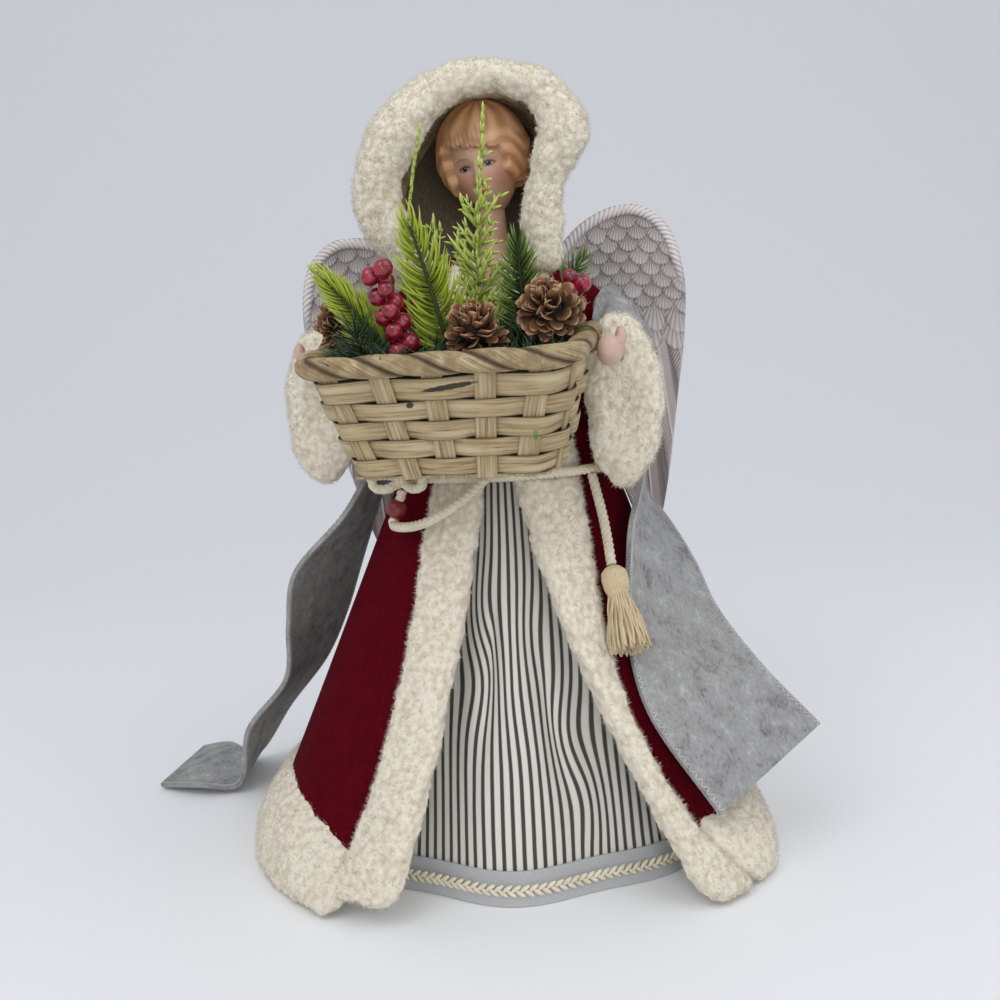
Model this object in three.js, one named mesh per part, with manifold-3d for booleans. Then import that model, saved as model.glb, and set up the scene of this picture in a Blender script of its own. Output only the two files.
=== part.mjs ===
// Angel tree topper: a hollow card cone carries a foam torso, a porcelain bust and a wire armature.
// Over them lie a striped ticking dress, an open felt coat with fleece borders, a hood and a felt stole.
// The hands carry a woven basket of greenery, and two cast wings are screwed to the back.
// Millimetres, +Z up, the figure faces -Y, and the cone's base circle is centred on the origin.
import * as THREE from "three";
import { mergeVertices } from "three/addons/utils/BufferGeometryUtils.js";
import Module from "manifold-3d";

const wasm = await Module();
wasm.setup();

// Clearances
const CLEARANCE = 0.35;
const CLOTH_CLEARANCE = 0.5;

// Card cone and foam torso
const WAIST_Z = 196;
const CONE_BASE_RADIUS = 84;
const CONE_TOP_RADIUS = 30;
const CONE_WALL = 2;
const TORSO_HEIGHT = 101;
const TORSO_CHEST_HALF_WIDTH = 37;
const TORSO_CHEST_HALF_DEPTH = 28;
const SHOULDER_Z = 284;
const ARM_WIRE_RADIUS = 1.3;

// Ticking dress
const SKIRT_HEM_RADIUS = 111;
const SKIRT_WAIST_RADIUS = 40;
const SKIRT_CLOTH = 1.6;
const SKIRT_FOLDS = 8;
const SKIRT_FOLD_DEPTH = 3;
const HEM_BAND_HEIGHT = 15;
const HEM_BAND_CLOTH = 1.6;
const HEM_BRAID_RADIUS = 2.2;

// Felt coat and its fleece borders
const COAT_HEM_RADIUS = 149;
const COAT_WAIST_HALF_WIDTH = 57;
const COAT_WAIST_HALF_DEPTH = 46;
const COAT_CLOTH = 2.4;
const COAT_FOLDS = 6;
const COAT_FOLD_DEPTH = 7;
const COAT_TUCK = 22;
const COAT_TUCK_DEGREES = [48, 74, 110, 165];
const COLLAR_Z = 308;
const COLLAR_HALF_WIDTH = 27;
const COLLAR_HALF_DEPTH = 23;
const HEM_TRIM_HEIGHT = 34;
const FLEECE_OUTWARD = 9;
const FLEECE_INWARD = 5;

// Border angles in degrees from the front, at the hem, half way up and at the waist
const LEFT_BORDER = [-43, -36, -47];
const LEFT_OPENING = [-26, -20, -14];
const RIGHT_OPENING = [33, 20, 3];
const RIGHT_BORDER = [47, 28.5, 46];

// Sleeves, cuffs and hands
const SLEEVE_CLOTH = 2.2;
const ARMHOLE_RADIUS = 14;
const SLEEVE_START_X = 55.5;
const CUFF_ROLL_RADIUS = 7.5;
const CUFF_HALF_DEPTH = 12;
const CUFF_HALF_WIDTH = 18;
const CUFF_HALF_HEIGHT = 42;
const HAND_HALF_WIDTH = 5;

// Head and hood
const HEAD_HALF_WIDTH = 23;
const HEAD_HALF_DEPTH = 24;
const HEAD_HALF_HEIGHT = 28.5;
const HEAD_Z = 359.5;
const NECK_RADIUS = 9;
const HOOD_CLOTH = 3;
const HOOD_ROLL_RADIUS = 12;
const HOOD_DEPTH = 62;
const HOOD_NECK_DEPTH = 42;
const HOOD_SEAM_TOP_Z = 356;

// Stole
const STOLE_CLOTH = 2.4;

// Cords, bead and tassel
const CORD_RADIUS = 2.6;
const BEAD_RADIUS = 5.5;
const TASSEL_HEAD_RADIUS = 6.5;
const TASSEL_HEAD_LENGTH = 15;
const TASSEL_SKIRT_RADIUS = 9.5;
const TASSEL_SKIRT_LENGTH = 30;

// Wings
const WING_THICKNESS = 4;
const WING_Y = 60;
const WING_TILT = 3.5;
const FEATHER_THICKNESS = 1.5;
const WING_SCREW_RADIUS = 1.6;

// Basket
const BASKET_X = -22.5;
const BASKET_Y = -93;
const BASKET_RIM_Z = 262;
const BASKET_YAW = -15;
const BASKET_TILT = 10;
const BASKET_RIM_HALF_WIDTH = 61.5;
const BASKET_RIM_HALF_DEPTH = 32;
const BASKET_BASE_HALF_WIDTH = 47;
const BASKET_BASE_HALF_DEPTH = 23;
const BASKET_HEIGHT = 54;
const BASKET_CORNER_RADIUS = 12;
const BASKET_RIM_RADIUS = 5;
const WEAVER_ROWS = 5;
const WEAVER_THICKNESS = 0.9;
const STAKE_THICKNESS = 1.1;
const STAKE_WIDTH = 9;
const STAKES_LONG_SIDE = 5;
const STAKES_SHORT_SIDE = 3;
const TIE_WIRE_RADIUS = 0.8;
const TIE_OFFSET_Y = 6;

const materials = {
  porcelain: { color: 0xd2ab98, roughness: 0.45, metalness: 0 },
  fleece: { color: 0xebe4d2, roughness: 0.95, metalness: 0 },
  coatFelt: { color: 0x700c1c, roughness: 0.95, metalness: 0 },
  greyFelt: { color: 0x969492, roughness: 0.95, metalness: 0 },
  hemFelt: { color: 0x969ba5, roughness: 0.95, metalness: 0 },
  ticking: { color: 0xdedad0, roughness: 0.9, metalness: 0 },
  braid: { color: 0xe2d8c2, roughness: 0.9, metalness: 0 },
  cord: { color: 0xe1d7be, roughness: 0.85, metalness: 0 },
  tassel: { color: 0xd7c39b, roughness: 0.85, metalness: 0 },
  bead: { color: 0xaa2d2d, roughness: 0.35, metalness: 0 },
  resin: { color: 0xbeb4b6, roughness: 0.55, metalness: 0 },
  bamboo: { color: 0xbea573, roughness: 0.7, metalness: 0 },
  card: { color: 0xb49a74, roughness: 0.9, metalness: 0 },
  foam: { color: 0xe6e6e0, roughness: 0.9, metalness: 0 },
  floralFoam: { color: 0x5a6e46, roughness: 0.95, metalness: 0 },
  steel: { color: 0x8c8c8e, roughness: 0.4, metalness: 1 },
  lightGreen: { color: 0x96b43c, roughness: 0.7, metalness: 0 },
  cedarGreen: { color: 0xaabe6e, roughness: 0.8, metalness: 0 },
  darkGreen: { color: 0x2d5032, roughness: 0.7, metalness: 0 },
  cone: { color: 0x785037, roughness: 0.85, metalness: 0 },
  berry: { color: 0x961432, roughness: 0.25, metalness: 0 },
};

const group = new THREE.Group();
group.name = "angel_tree_topper";

function addPart(name, geometry, material) {
  const mesh = new THREE.Mesh(geometry, new THREE.MeshStandardMaterial(materials[material]));
  mesh.name = name;
  group.add(mesh);
  return mesh;
}

const radians = THREE.MathUtils.degToRad;
const lerp = THREE.MathUtils.lerp;
const vector = (x, y, z) => new THREE.Vector3(x, y, z);

// A closed surface from points and triangles, turned so that its faces look outward
function closedGeometry(points, triangles) {
  let volume = 0;
  for (const [a, b, c] of triangles) {
    volume += points[a].dot(points[b].clone().cross(points[c]));
  }
  const index = triangles.flatMap(([a, b, c]) => (volume < 0 ? [a, c, b] : [a, b, c]));
  const geometry = new THREE.BufferGeometry().setFromPoints(points);
  geometry.setIndex(index);
  geometry.computeVertexNormals();
  return geometry;
}

// A skin through rings of equal point count: capped at both ends, or joined into a hoop
function loft(rings, hoop = false) {
  const count = rings[0].length;
  const points = rings.flat();
  const triangles = [];
  const spans = hoop ? rings.length : rings.length - 1;
  for (let row = 0; row < spans; row++) {
    const here = row * count;
    const next = ((row + 1) % rings.length) * count;
    for (let k = 0; k < count; k++) {
      const side = (k + 1) % count;
      triangles.push([here + k, here + side, next + side]);
      triangles.push([here + k, next + side, next + k]);
    }
  }
  if (!hoop) {
    for (const first of [0, (rings.length - 1) * count]) {
      const centre = vector(0, 0, 0);
      for (let k = 0; k < count; k++) {
        centre.addScaledVector(points[first + k], 1 / count);
      }
      points.push(centre);
      for (let k = 0; k < count; k++) {
        const edge = [first + k, first + ((k + 1) % count)];
        triangles.push(first === 0 ? [points.length - 1, edge[1], edge[0]] : [points.length - 1, ...edge]);
      }
    }
  }
  return closedGeometry(points, triangles);
}

// A cloth between an outer and an inner surface, each given as a function of u and v
function cloth(outer, inner, columns, rows, round = false) {
  const width = round ? columns : columns + 1;
  const points = [];
  for (const surface of [outer, inner]) {
    for (let row = 0; row <= rows; row++) {
      for (let column = 0; column < width; column++) {
        points.push(surface(column / columns, row / rows));
      }
    }
  }
  const layer = width * (rows + 1);
  const at = (side, row, column) => side * layer + row * width + (column % width);
  const triangles = [];
  const quad = (a, b, c, d) => triangles.push([a, b, c], [a, c, d]);
  for (let row = 0; row < rows; row++) {
    for (let column = 0; column < columns; column++) {
      quad(at(0, row, column), at(0, row, column + 1), at(0, row + 1, column + 1), at(0, row + 1, column));
      quad(at(1, row, column), at(1, row + 1, column), at(1, row + 1, column + 1), at(1, row, column + 1));
    }
    if (!round) {
      quad(at(0, row, 0), at(0, row + 1, 0), at(1, row + 1, 0), at(1, row, 0));
      quad(at(0, row, columns), at(1, row, columns), at(1, row + 1, columns), at(0, row + 1, columns));
    }
  }
  for (let column = 0; column < columns; column++) {
    quad(at(0, 0, column), at(1, 0, column), at(1, 0, column + 1), at(0, 0, column + 1));
    quad(at(0, rows, column), at(0, rows, column + 1), at(1, rows, column + 1), at(1, rows, column));
  }
  return closedGeometry(points, triangles);
}

// A cloth of even thickness about a middle surface
function evenCloth(surface, thickness, columns, rows) {
  const step = 0.002;
  const normal = (u, v) => {
    const along = surface(Math.min(u + step, 1), v).sub(surface(Math.max(u - step, 0), v));
    const across = surface(u, Math.min(v + step, 1)).sub(surface(u, Math.max(v - step, 0)));
    return along.cross(across).normalize();
  };
  const outer = (u, v) => surface(u, v).addScaledVector(normal(u, v), thickness / 2);
  const inner = (u, v) => surface(u, v).addScaledVector(normal(u, v), -thickness / 2);
  return cloth(outer, inner, columns, rows);
}

// A round bar along a curve, with a radius that may change on the way
function bar(curve, radius, steps, sides, hoop = false) {
  const frames = curve.computeFrenetFrames(steps, hoop);
  const rings = [];
  const count = hoop ? steps : steps + 1;
  for (let i = 0; i < count; i++) {
    const t = i / steps;
    const centre = curve.getPointAt(t);
    const size = typeof radius === "function" ? radius(t) : radius;
    const ring = [];
    for (let k = 0; k < sides; k++) {
      const turn = (k / sides) * Math.PI * 2;
      const point = centre.clone();
      point.addScaledVector(frames.normals[i], Math.cos(turn) * size);
      point.addScaledVector(frames.binormals[i], Math.sin(turn) * size);
      ring.push(point);
    }
    rings.push(ring);
  }
  return loft(rings, hoop);
}

// A cord or wire of one thickness along an open curve
function tube(curve, radius, steps, sides = 8) {
  const section = [];
  for (let k = 0; k < sides; k++) {
    const turn = (k / sides) * Math.PI * 2;
    section.push(new THREE.Vector2(radius * Math.cos(turn), radius * Math.sin(turn)));
  }
  const options = { steps, extrudePath: curve, bevelEnabled: false };
  return new THREE.ExtrudeGeometry(new THREE.Shape(section), options);
}

function toSolid(geometry) {
  const plain = geometry.clone();
  plain.deleteAttribute("normal");
  plain.deleteAttribute("uv");
  const merged = mergeVertices(plain, 1e-4);
  const mesh = new wasm.Mesh({
    numProp: 3,
    vertProperties: new Float32Array(merged.attributes.position.array),
    triVerts: new Uint32Array(merged.index.array),
  });
  return new wasm.Manifold(mesh);
}

function toGeometry(solid) {
  const mesh = solid.getMesh();
  const geometry = new THREE.BufferGeometry();
  geometry.setAttribute("position", new THREE.BufferAttribute(new Float32Array(mesh.vertProperties), 3));
  geometry.setIndex(new THREE.BufferAttribute(new Uint32Array(mesh.triVerts), 1));
  geometry.computeVertexNormals();
  return geometry;
}

function fuse(geometries) {
  return toGeometry(wasm.Manifold.union(geometries.map(toSolid)));
}

function cut(geometry, ...cutters) {
  let solid = toSolid(geometry);
  for (const cutter of cutters) {
    solid = solid.subtract(toSolid(cutter));
  }
  return toGeometry(solid);
}

function cylinderAlongX(radius, length, x, y, z) {
  const geometry = new THREE.CylinderGeometry(radius, radius, length, 12);
  geometry.rotateZ(Math.PI / 2);
  geometry.translate(x, y, z);
  return geometry;
}

function cylinderAlongY(radius, length, x, y, z) {
  const geometry = new THREE.CylinderGeometry(radius, radius, length, 12);
  geometry.translate(x, y, z);
  return geometry;
}

// A value that passes through three numbers at 0, one half and 1
function throughThree([start, middle, end], s) {
  return start * (1 - s) * (1 - 2 * s) + middle * 4 * s * (1 - s) + end * s * (2 * s - 1);
}

function station(list, z) {
  let i = 0;
  while (i < list.length - 2 && z > list[i + 1].z) {
    i++;
  }
  const t = THREE.MathUtils.clamp((z - list[i].z) / (list[i + 1].z - list[i].z), 0, 1);
  return { x: lerp(list[i].x, list[i + 1].x, t), y: lerp(list[i].y, list[i + 1].y, t) };
}

// A point at an angle from the front, at a radius and a height
function roundPoint(angle, radius, z) {
  return vector(Math.sin(angle) * radius, -Math.cos(angle) * radius, z);
}

function ovalRadius(halfWidth, halfDepth, angle) {
  return 1 / Math.hypot(Math.sin(angle) / halfWidth, Math.cos(angle) / halfDepth);
}

// Card cone
const coneTopZ = WAIST_Z - 4;
const coneProfile = [
  [CONE_BASE_RADIUS - CONE_WALL, 0],
  [CONE_BASE_RADIUS, 0],
  [CONE_TOP_RADIUS, coneTopZ],
  [CONE_TOP_RADIUS - CONE_WALL, coneTopZ],
  [CONE_BASE_RADIUS - CONE_WALL, 0],
].map(([radius, z]) => new THREE.Vector2(radius, z));
const coneShell = new THREE.LatheGeometry(coneProfile, 24);
coneShell.rotateX(Math.PI / 2);
addPart("body_cone", coneShell, "card");

// Foam torso: a round foot that fills the dress waist, a waist, a chest and sloping shoulders
const torsoFootZ = coneTopZ + CLEARANCE;
const torsoFootRadius = SKIRT_WAIST_RADIUS - SKIRT_CLOTH - CLOTH_CLEARANCE;
const torsoTopZ = torsoFootZ + TORSO_HEIGHT;
const torsoStations = [
  { z: torsoFootZ, x: torsoFootRadius, y: torsoFootRadius },
  { z: WAIST_Z + 6, x: torsoFootRadius, y: torsoFootRadius },
  { z: WAIST_Z + 18, x: 0.82 * TORSO_CHEST_HALF_WIDTH, y: 0.92 * TORSO_CHEST_HALF_DEPTH },
  { z: WAIST_Z + 60, x: TORSO_CHEST_HALF_WIDTH, y: TORSO_CHEST_HALF_DEPTH },
  { z: SHOULDER_Z, x: TORSO_CHEST_HALF_WIDTH, y: 0.93 * TORSO_CHEST_HALF_DEPTH },
  { z: torsoTopZ, x: 0.66 * TORSO_CHEST_HALF_WIDTH, y: 0.66 * TORSO_CHEST_HALF_DEPTH },
];
const torsoRings = torsoStations.map(({ z, x, y }) => {
  const ring = [];
  for (let k = 0; k < 18; k++) {
    const angle = (k / 18) * Math.PI * 2;
    ring.push(roundPoint(angle, ovalRadius(x, y, angle), z));
  }
  return ring;
});
const wireBore = cylinderAlongX(ARM_WIRE_RADIUS + CLEARANCE, 2 * TORSO_CHEST_HALF_WIDTH + 20, 0, 0, SHOULDER_Z);
const bracketWidth = 52;
const bracketHeight = 20;
const bracketZ = 250;
const torsoBackY = station(torsoStations, bracketZ).y;
addPart("torso", cut(loft(torsoRings), wireBore), "foam");

// Dress skirt with soft folds
function skirtRadius(angle, z) {
  const s = THREE.MathUtils.clamp(z / WAIST_Z, 0, 1);
  const fold = SKIRT_FOLD_DEPTH * Math.sqrt(1 - s) * Math.cos(SKIRT_FOLDS * angle + 0.6);
  return lerp(SKIRT_HEM_RADIUS, SKIRT_WAIST_RADIUS, s) - SKIRT_FOLD_DEPTH * (1 - s) + fold;
}
const skirtTopZ = WAIST_Z + 5;
const skirtColumns = 48;
const skirtSkin = (offset) => (u, v) => {
  const angle = u * Math.PI * 2;
  const z = v * skirtTopZ;
  return roundPoint(angle, skirtRadius(angle, z) + offset, z);
};
addPart("ticking_skirt", cloth(skirtSkin(0), skirtSkin(-SKIRT_CLOTH), skirtColumns, 5, true), "ticking");

// Felt band and braid round the dress hem
const bandSkin = (offset) => (u, v) => {
  const angle = u * Math.PI * 2;
  const z = v * HEM_BAND_HEIGHT;
  return roundPoint(angle, skirtRadius(angle, z) + offset, z);
};
const bandOut = CLOTH_CLEARANCE + HEM_BAND_CLOTH;
const hemBand = cloth(bandSkin(bandOut), bandSkin(CLOTH_CLEARANCE), skirtColumns, 1, true);
addPart("skirt_hem_band", hemBand, "hemFelt");
const braidRings = [];
for (let column = 0; column < skirtColumns; column++) {
  const angle = (column / skirtColumns) * Math.PI * 2;
  const z = HEM_BAND_HEIGHT / 2;
  const middle = skirtRadius(angle, z) + bandOut + CLOTH_CLEARANCE + 0.6 * HEM_BRAID_RADIUS;
  const ring = [];
  for (let k = 0; k < 4; k++) {
    const turn = (k / 4) * Math.PI * 2;
    const radius = middle + 0.6 * HEM_BRAID_RADIUS * Math.cos(turn);
    ring.push(roundPoint(angle, radius, z + HEM_BRAID_RADIUS * Math.sin(turn)));
  }
  braidRings.push(ring);
}
addPart("hem_braid", loft(braidRings, true), "braid");

// Coat surface: a flared skirt below the waist, a bodice above it
const bodice = [
  { z: WAIST_Z, x: COAT_WAIST_HALF_WIDTH, y: COAT_WAIST_HALF_DEPTH },
  { z: WAIST_Z + 36, x: 0.93 * COAT_WAIST_HALF_WIDTH, y: 0.92 * COAT_WAIST_HALF_DEPTH },
  { z: SHOULDER_Z - 12, x: 0.88 * COAT_WAIST_HALF_WIDTH, y: 0.87 * COAT_WAIST_HALF_DEPTH },
  { z: SHOULDER_Z + 12, x: 0.75 * COAT_WAIST_HALF_WIDTH, y: 0.7 * COAT_WAIST_HALF_DEPTH },
  { z: COLLAR_Z, x: COLLAR_HALF_WIDTH, y: COLLAR_HALF_DEPTH },
];
function ramp(value, low, high) {
  const t = Math.min(Math.max((value - low) / (high - low), 0), 1);
  return t * t * (3 - 2 * t);
}
// How far the coat's right side is drawn in at the hem
function coatTuck(angle) {
  const degrees = (angle * 180) / Math.PI;
  const [start, full, leave, end] = COAT_TUCK_DEGREES;
  return COAT_TUCK * ramp(degrees, start, full) * (1 - ramp(degrees, leave, end));
}
function coatRadius(angle, z) {
  if (z >= WAIST_Z) {
    const size = station(bodice, z);
    return ovalRadius(size.x, size.y, angle);
  }
  const s = z / WAIST_Z;
  const halfWidth = lerp(COAT_HEM_RADIUS, COAT_WAIST_HALF_WIDTH, s);
  const halfDepth = lerp(COAT_HEM_RADIUS, COAT_WAIST_HALF_DEPTH, s);
  const behind = 0.5 - 0.5 * Math.cos(angle);
  const fold = COAT_FOLD_DEPTH * (1 - s) * behind * Math.cos(COAT_FOLDS * angle);
  return ovalRadius(halfWidth, halfDepth, angle) + fold - coatTuck(angle) * (1 - s);
}
function borderAngle(border, z) {
  return radians(throughThree(border, Math.min(z / WAIST_Z, 1)));
}
const borderGap = (angle, z) => CLEARANCE / coatRadius(angle, z);

// Coat cloth from one fleece border round the back to the other
const coatFootZ = HEM_TRIM_HEIGHT + CLEARANCE;
const coatLevels = [coatFootZ];
for (let step = 1; step <= 4; step++) {
  coatLevels.push(lerp(coatFootZ, WAIST_Z, step / 4));
}
coatLevels.push(...bodice.slice(1).map((level) => level.z));
const coatRows = coatLevels.length - 1;
const coatSkin = (offset) => (u, v) => {
  const z = coatLevels[Math.round(v * coatRows)];
  const from = borderAngle(RIGHT_BORDER, z);
  const to = borderAngle(LEFT_BORDER, z) + Math.PI * 2;
  const angle = lerp(from + borderGap(from, z), to - borderGap(to, z), u);
  return roundPoint(angle, coatRadius(angle, z) + offset, z);
};
const coatCloth = cloth(coatSkin(COAT_CLOTH / 2), coatSkin(-COAT_CLOTH / 2), 30, coatRows);
const armholes = cylinderAlongX(ARM_WIRE_RADIUS + 3, 2 * SLEEVE_START_X, 0, 0, SHOULDER_Z);
const bracketHole = new THREE.BoxGeometry(bracketWidth + 1, 60, bracketHeight + 1);
bracketHole.translate(0, torsoBackY + 34, 0);
bracketHole.rotateY(radians(-WING_TILT));
bracketHole.translate(0, 0, bracketZ);
addPart("coat", cut(coatCloth, armholes, bracketHole), "coatFelt");

// Fleece borders down both front edges of the coat
const borderLevels = [0, HEM_TRIM_HEIGHT / 2, ...coatLevels];
function fleeceBorder(opening, border) {
  const sides = 10;
  const rings = [];
  for (const z of borderLevels) {
    const inner = borderAngle(opening, z);
    const outer = borderAngle(border, z);
    const middle = (inner + outer) / 2;
    const half = Math.abs(outer - inner) / 2 - borderGap(outer, z);
    const ring = [];
    for (let k = 0; k < sides; k++) {
      const turn = ((k + 0.5) / sides) * Math.PI * 2;
      const angle = middle + half * Math.sign(Math.cos(turn)) * Math.sqrt(Math.abs(Math.cos(turn)));
      const lift = Math.sin(turn) > 0 ? FLEECE_OUTWARD * Math.sin(turn) : FLEECE_INWARD * Math.sin(turn);
      ring.push(roundPoint(angle, coatRadius(middle, z) + lift, z));
    }
    rings.push(ring);
  }
  return loft(rings);
}
addPart("left_front_trim", fleeceBorder(LEFT_OPENING, LEFT_BORDER), "fleece");
addPart("right_front_trim", fleeceBorder(RIGHT_OPENING, RIGHT_BORDER), "fleece");

// Fleece border round the coat hem
const hemTrimRings = [];
const hemTrimColumns = 30;
for (let column = 0; column <= hemTrimColumns; column++) {
  const u = column / hemTrimColumns;
  const ring = [];
  for (let k = 0; k < 8; k++) {
    const turn = ((k + 0.5) / 8) * Math.PI * 2;
    const z = (HEM_TRIM_HEIGHT / 2) * (1 + Math.sin(turn) / Math.sin(Math.PI * 0.375));
    const from = borderAngle(RIGHT_BORDER, z);
    const to = borderAngle(LEFT_BORDER, z) + Math.PI * 2;
    const angle = lerp(from + borderGap(from, z), to - borderGap(to, z), u);
    const lift = Math.cos(turn) > 0 ? FLEECE_OUTWARD * Math.cos(turn) : FLEECE_INWARD * Math.cos(turn);
    ring.push(roundPoint(angle, coatRadius(angle, z) + lift, z));
  }
  hemTrimRings.push(ring);
}
addPart("hem_trim", loft(hemTrimRings), "fleece");

// Arms: each runs from the shoulder out to the elbow and forward through the cuff to the hand
const arms = {
  right: {
    sign: 1,
    elbow: vector(76, 2, 262),
    cuff: vector(59, -54, 233),
    wrist: vector(56, -84, 257),
    hand: vector(48.8, -101.8, 258),
    palmTurn: 14,
    dropScale: 1,
  },
  left: {
    sign: -1,
    elbow: vector(-92, 12, 262),
    cuff: vector(-95, -16, 236),
    wrist: vector(-94, -52, 259),
    hand: vector(-90.6, -68.4, 259),
    palmTurn: 8,
    dropScale: 0.93,
  },
};

// The sleeve's run: its middle, its forward direction and its half width and half height
function sleeveRun(arm) {
  const start = vector(arm.sign * SLEEVE_START_X, 0, SHOULDER_Z);
  const end = arm.cuff.clone().setY(arm.cuff.y + 0.95 * CUFF_HALF_DEPTH + CLEARANCE);
  const path = new THREE.QuadraticBezierCurve3(start, arm.elbow, end);
  return (v) => ({
    centre: path.getPoint(v),
    ahead: vector(arm.sign * (1 - v), -v, 0).normalize(),
    width: lerp(ARMHOLE_RADIUS, CUFF_HALF_WIDTH - 2, v),
    height: lerp(ARMHOLE_RADIUS, CUFF_HALF_HEIGHT * arm.dropScale - 3, v * v),
  });
}

// Armature wire, inside both sleeves and through the torso
function armPoints(arm) {
  const run = sleeveRun(arm);
  const inside = [0.85, 0.5, 0.25].map((v) => {
    const place = run(v);
    return place.centre.setZ(place.centre.z + 0.4 * (place.height - ARMHOLE_RADIUS));
  });
  return [
    arm.wrist,
    vector(arm.cuff.x, arm.cuff.y, lerp(arm.cuff.z, arm.wrist.z, 0.75)),
    ...inside,
    vector(arm.sign * SLEEVE_START_X, 0, SHOULDER_Z),
    vector(arm.sign * (TORSO_CHEST_HALF_WIDTH + 4), 0, SHOULDER_Z),
    vector(arm.sign * TORSO_CHEST_HALF_WIDTH * 0.5, 0, SHOULDER_Z),
  ];
}
const wireCurve = new THREE.CatmullRomCurve3([...armPoints(arms.left), ...armPoints(arms.right).reverse()]);
addPart("arm_wire", tube(wireCurve, ARM_WIRE_RADIUS, 36, 6), "steel");

// Hanging sleeves: a round armhole opening into a tall bell
function sleeve(arm) {
  const run = sleeveRun(arm);
  const skin = (inset) => (u, v) => {
    const turn = u * Math.PI * 2;
    const { centre, ahead, width, height } = run(v);
    const side = ahead.cross(vector(0, 0, 1));
    centre.addScaledVector(side, (width - inset) * Math.cos(turn));
    return centre.setZ(centre.z + (height - inset) * Math.sin(turn));
  };
  return cloth(skin(0), skin(SLEEVE_CLOTH), 12, 4, true);
}
addPart("right_sleeve", sleeve(arms.right), "coatFelt");
addPart("left_sleeve", sleeve(arms.left), "coatFelt");

// Fleece cuffs: a thick roll round each sleeve mouth
function cuff(arm) {
  const width = CUFF_HALF_WIDTH - CUFF_ROLL_RADIUS;
  const height = CUFF_HALF_HEIGHT * arm.dropScale - CUFF_ROLL_RADIUS;
  const rings = [];
  for (let i = 0; i < 16; i++) {
    const around = (i / 16) * Math.PI * 2;
    const ring = [];
    for (let k = 0; k < 8; k++) {
      const turn = (k / 8) * Math.PI * 2;
      const reach = CUFF_ROLL_RADIUS * Math.cos(turn);
      const x = (width + reach) * Math.cos(around);
      const z = (height + reach) * Math.sin(around);
      ring.push(vector(x, CUFF_HALF_DEPTH * Math.sin(turn), z).add(arm.cuff));
    }
    rings.push(ring);
  }
  return loft(rings, true);
}
addPart("right_cuff", cuff(arms.right), "fleece");
addPart("left_cuff", cuff(arms.left), "fleece");

// Porcelain hands: a wrist, a palm, folded fingers and a thumb
function ball(x, y, z, radiusX, radiusY, radiusZ, around = 6, along = 5) {
  const geometry = new THREE.SphereGeometry(1, around, along);
  geometry.rotateX(Math.PI / 2);
  geometry.scale(radiusX, radiusY, radiusZ);
  geometry.translate(x, y, z);
  return geometry;
}
function hand(arm) {
  const forward = arm.hand.clone().sub(arm.wrist).normalize();
  const start = arm.wrist.clone().addScaledVector(forward, CLEARANCE);
  const wrist = bar(new THREE.LineCurve3(start, arm.hand), (t) => lerp(2.6, 3.6, t), 2, 8);
  const palm = ball(0, 0, 0, 0.8 * HAND_HALF_WIDTH, 7, HAND_HALF_WIDTH + 2);
  const fingers = ball(-0.4 * arm.sign, -6, 2.4, 0.62 * HAND_HALF_WIDTH, 5.4, 4.2);
  const thumb = ball(0.6 * arm.sign, -4.4, -3.6, 0.6 * HAND_HALF_WIDTH, 4.8, 3.2);
  const shapes = [palm, fingers, thumb];
  for (const shape of shapes) {
    shape.rotateZ(radians(-arm.palmTurn * arm.sign));
    shape.translate(arm.hand.x, arm.hand.y, arm.hand.z);
  }
  return fuse([wrist, ...shapes]);
}
addPart("right_hand", hand(arms.right), "porcelain");
addPart("left_hand", hand(arms.left), "porcelain");

// Porcelain bust: shoulder plate, neck and head in one casting, the head tipped to its right
const bustFootZ = torsoTopZ + CLEARANCE;
const plateWidth = 0.62 * TORSO_CHEST_HALF_WIDTH;
const plateDepth = 0.6 * TORSO_CHEST_HALF_DEPTH;
const bustStations = [
  { z: bustFootZ, x: plateWidth, y: plateDepth },
  { z: bustFootZ + 4, x: 0.9 * plateWidth, y: 0.9 * plateDepth },
  { z: bustFootZ + 12, x: 1.15 * NECK_RADIUS, y: 1.1 * NECK_RADIUS },
  { z: bustFootZ + 20, x: NECK_RADIUS, y: NECK_RADIUS },
  { z: HEAD_Z - 12, x: NECK_RADIUS, y: NECK_RADIUS },
];
const bustRings = bustStations.map(({ z, x, y }) => {
  const ring = [];
  for (let k = 0; k < 18; k++) {
    const angle = (k / 18) * Math.PI * 2;
    ring.push(roundPoint(angle, ovalRadius(x, y, angle), z));
  }
  return ring;
});
function headShape() {
  const around = 18;
  const rows = 12;
  const rings = [];
  for (let row = 1; row < rows; row++) {
    const polar = (row / rows) * Math.PI;
    const level = -Math.cos(polar);
    const ring = [];
    for (let k = 0; k < around; k++) {
      const angle = (k / around) * Math.PI * 2;
      const facing = Math.max(0, Math.cos(angle));
      const jaw = level < 0 ? 1 - 0.26 * level * level : 1;
      const hair = 1 + 0.07 * (1 - facing) * Math.cos(3 * angle + 4 * level);
      const nose = 3.4 * Math.exp(-((angle > Math.PI ? angle - 2 * Math.PI : angle) ** 2) / 0.05)
        * Math.exp(-((level + 0.2) ** 2) / 0.02);
      const flat = 1 - 0.1 * facing * Math.max(0, 0.6 - level * level);
      const reach = Math.sin(polar) * jaw * hair;
      const x = HEAD_HALF_WIDTH * reach * Math.sin(angle) * (level < 0 ? 1 - 0.12 * facing : 1);
      const y = -HEAD_HALF_DEPTH * reach * flat * Math.cos(angle) - nose;
      ring.push(vector(x, y, HEAD_HALF_HEIGHT * level));
    }
    rings.push(ring);
  }
  const shape = loft(rings);
  shape.rotateZ(radians(5));
  shape.rotateY(radians(-6));
  shape.translate(-2, -3, HEAD_Z);
  return shape;
}
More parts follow.
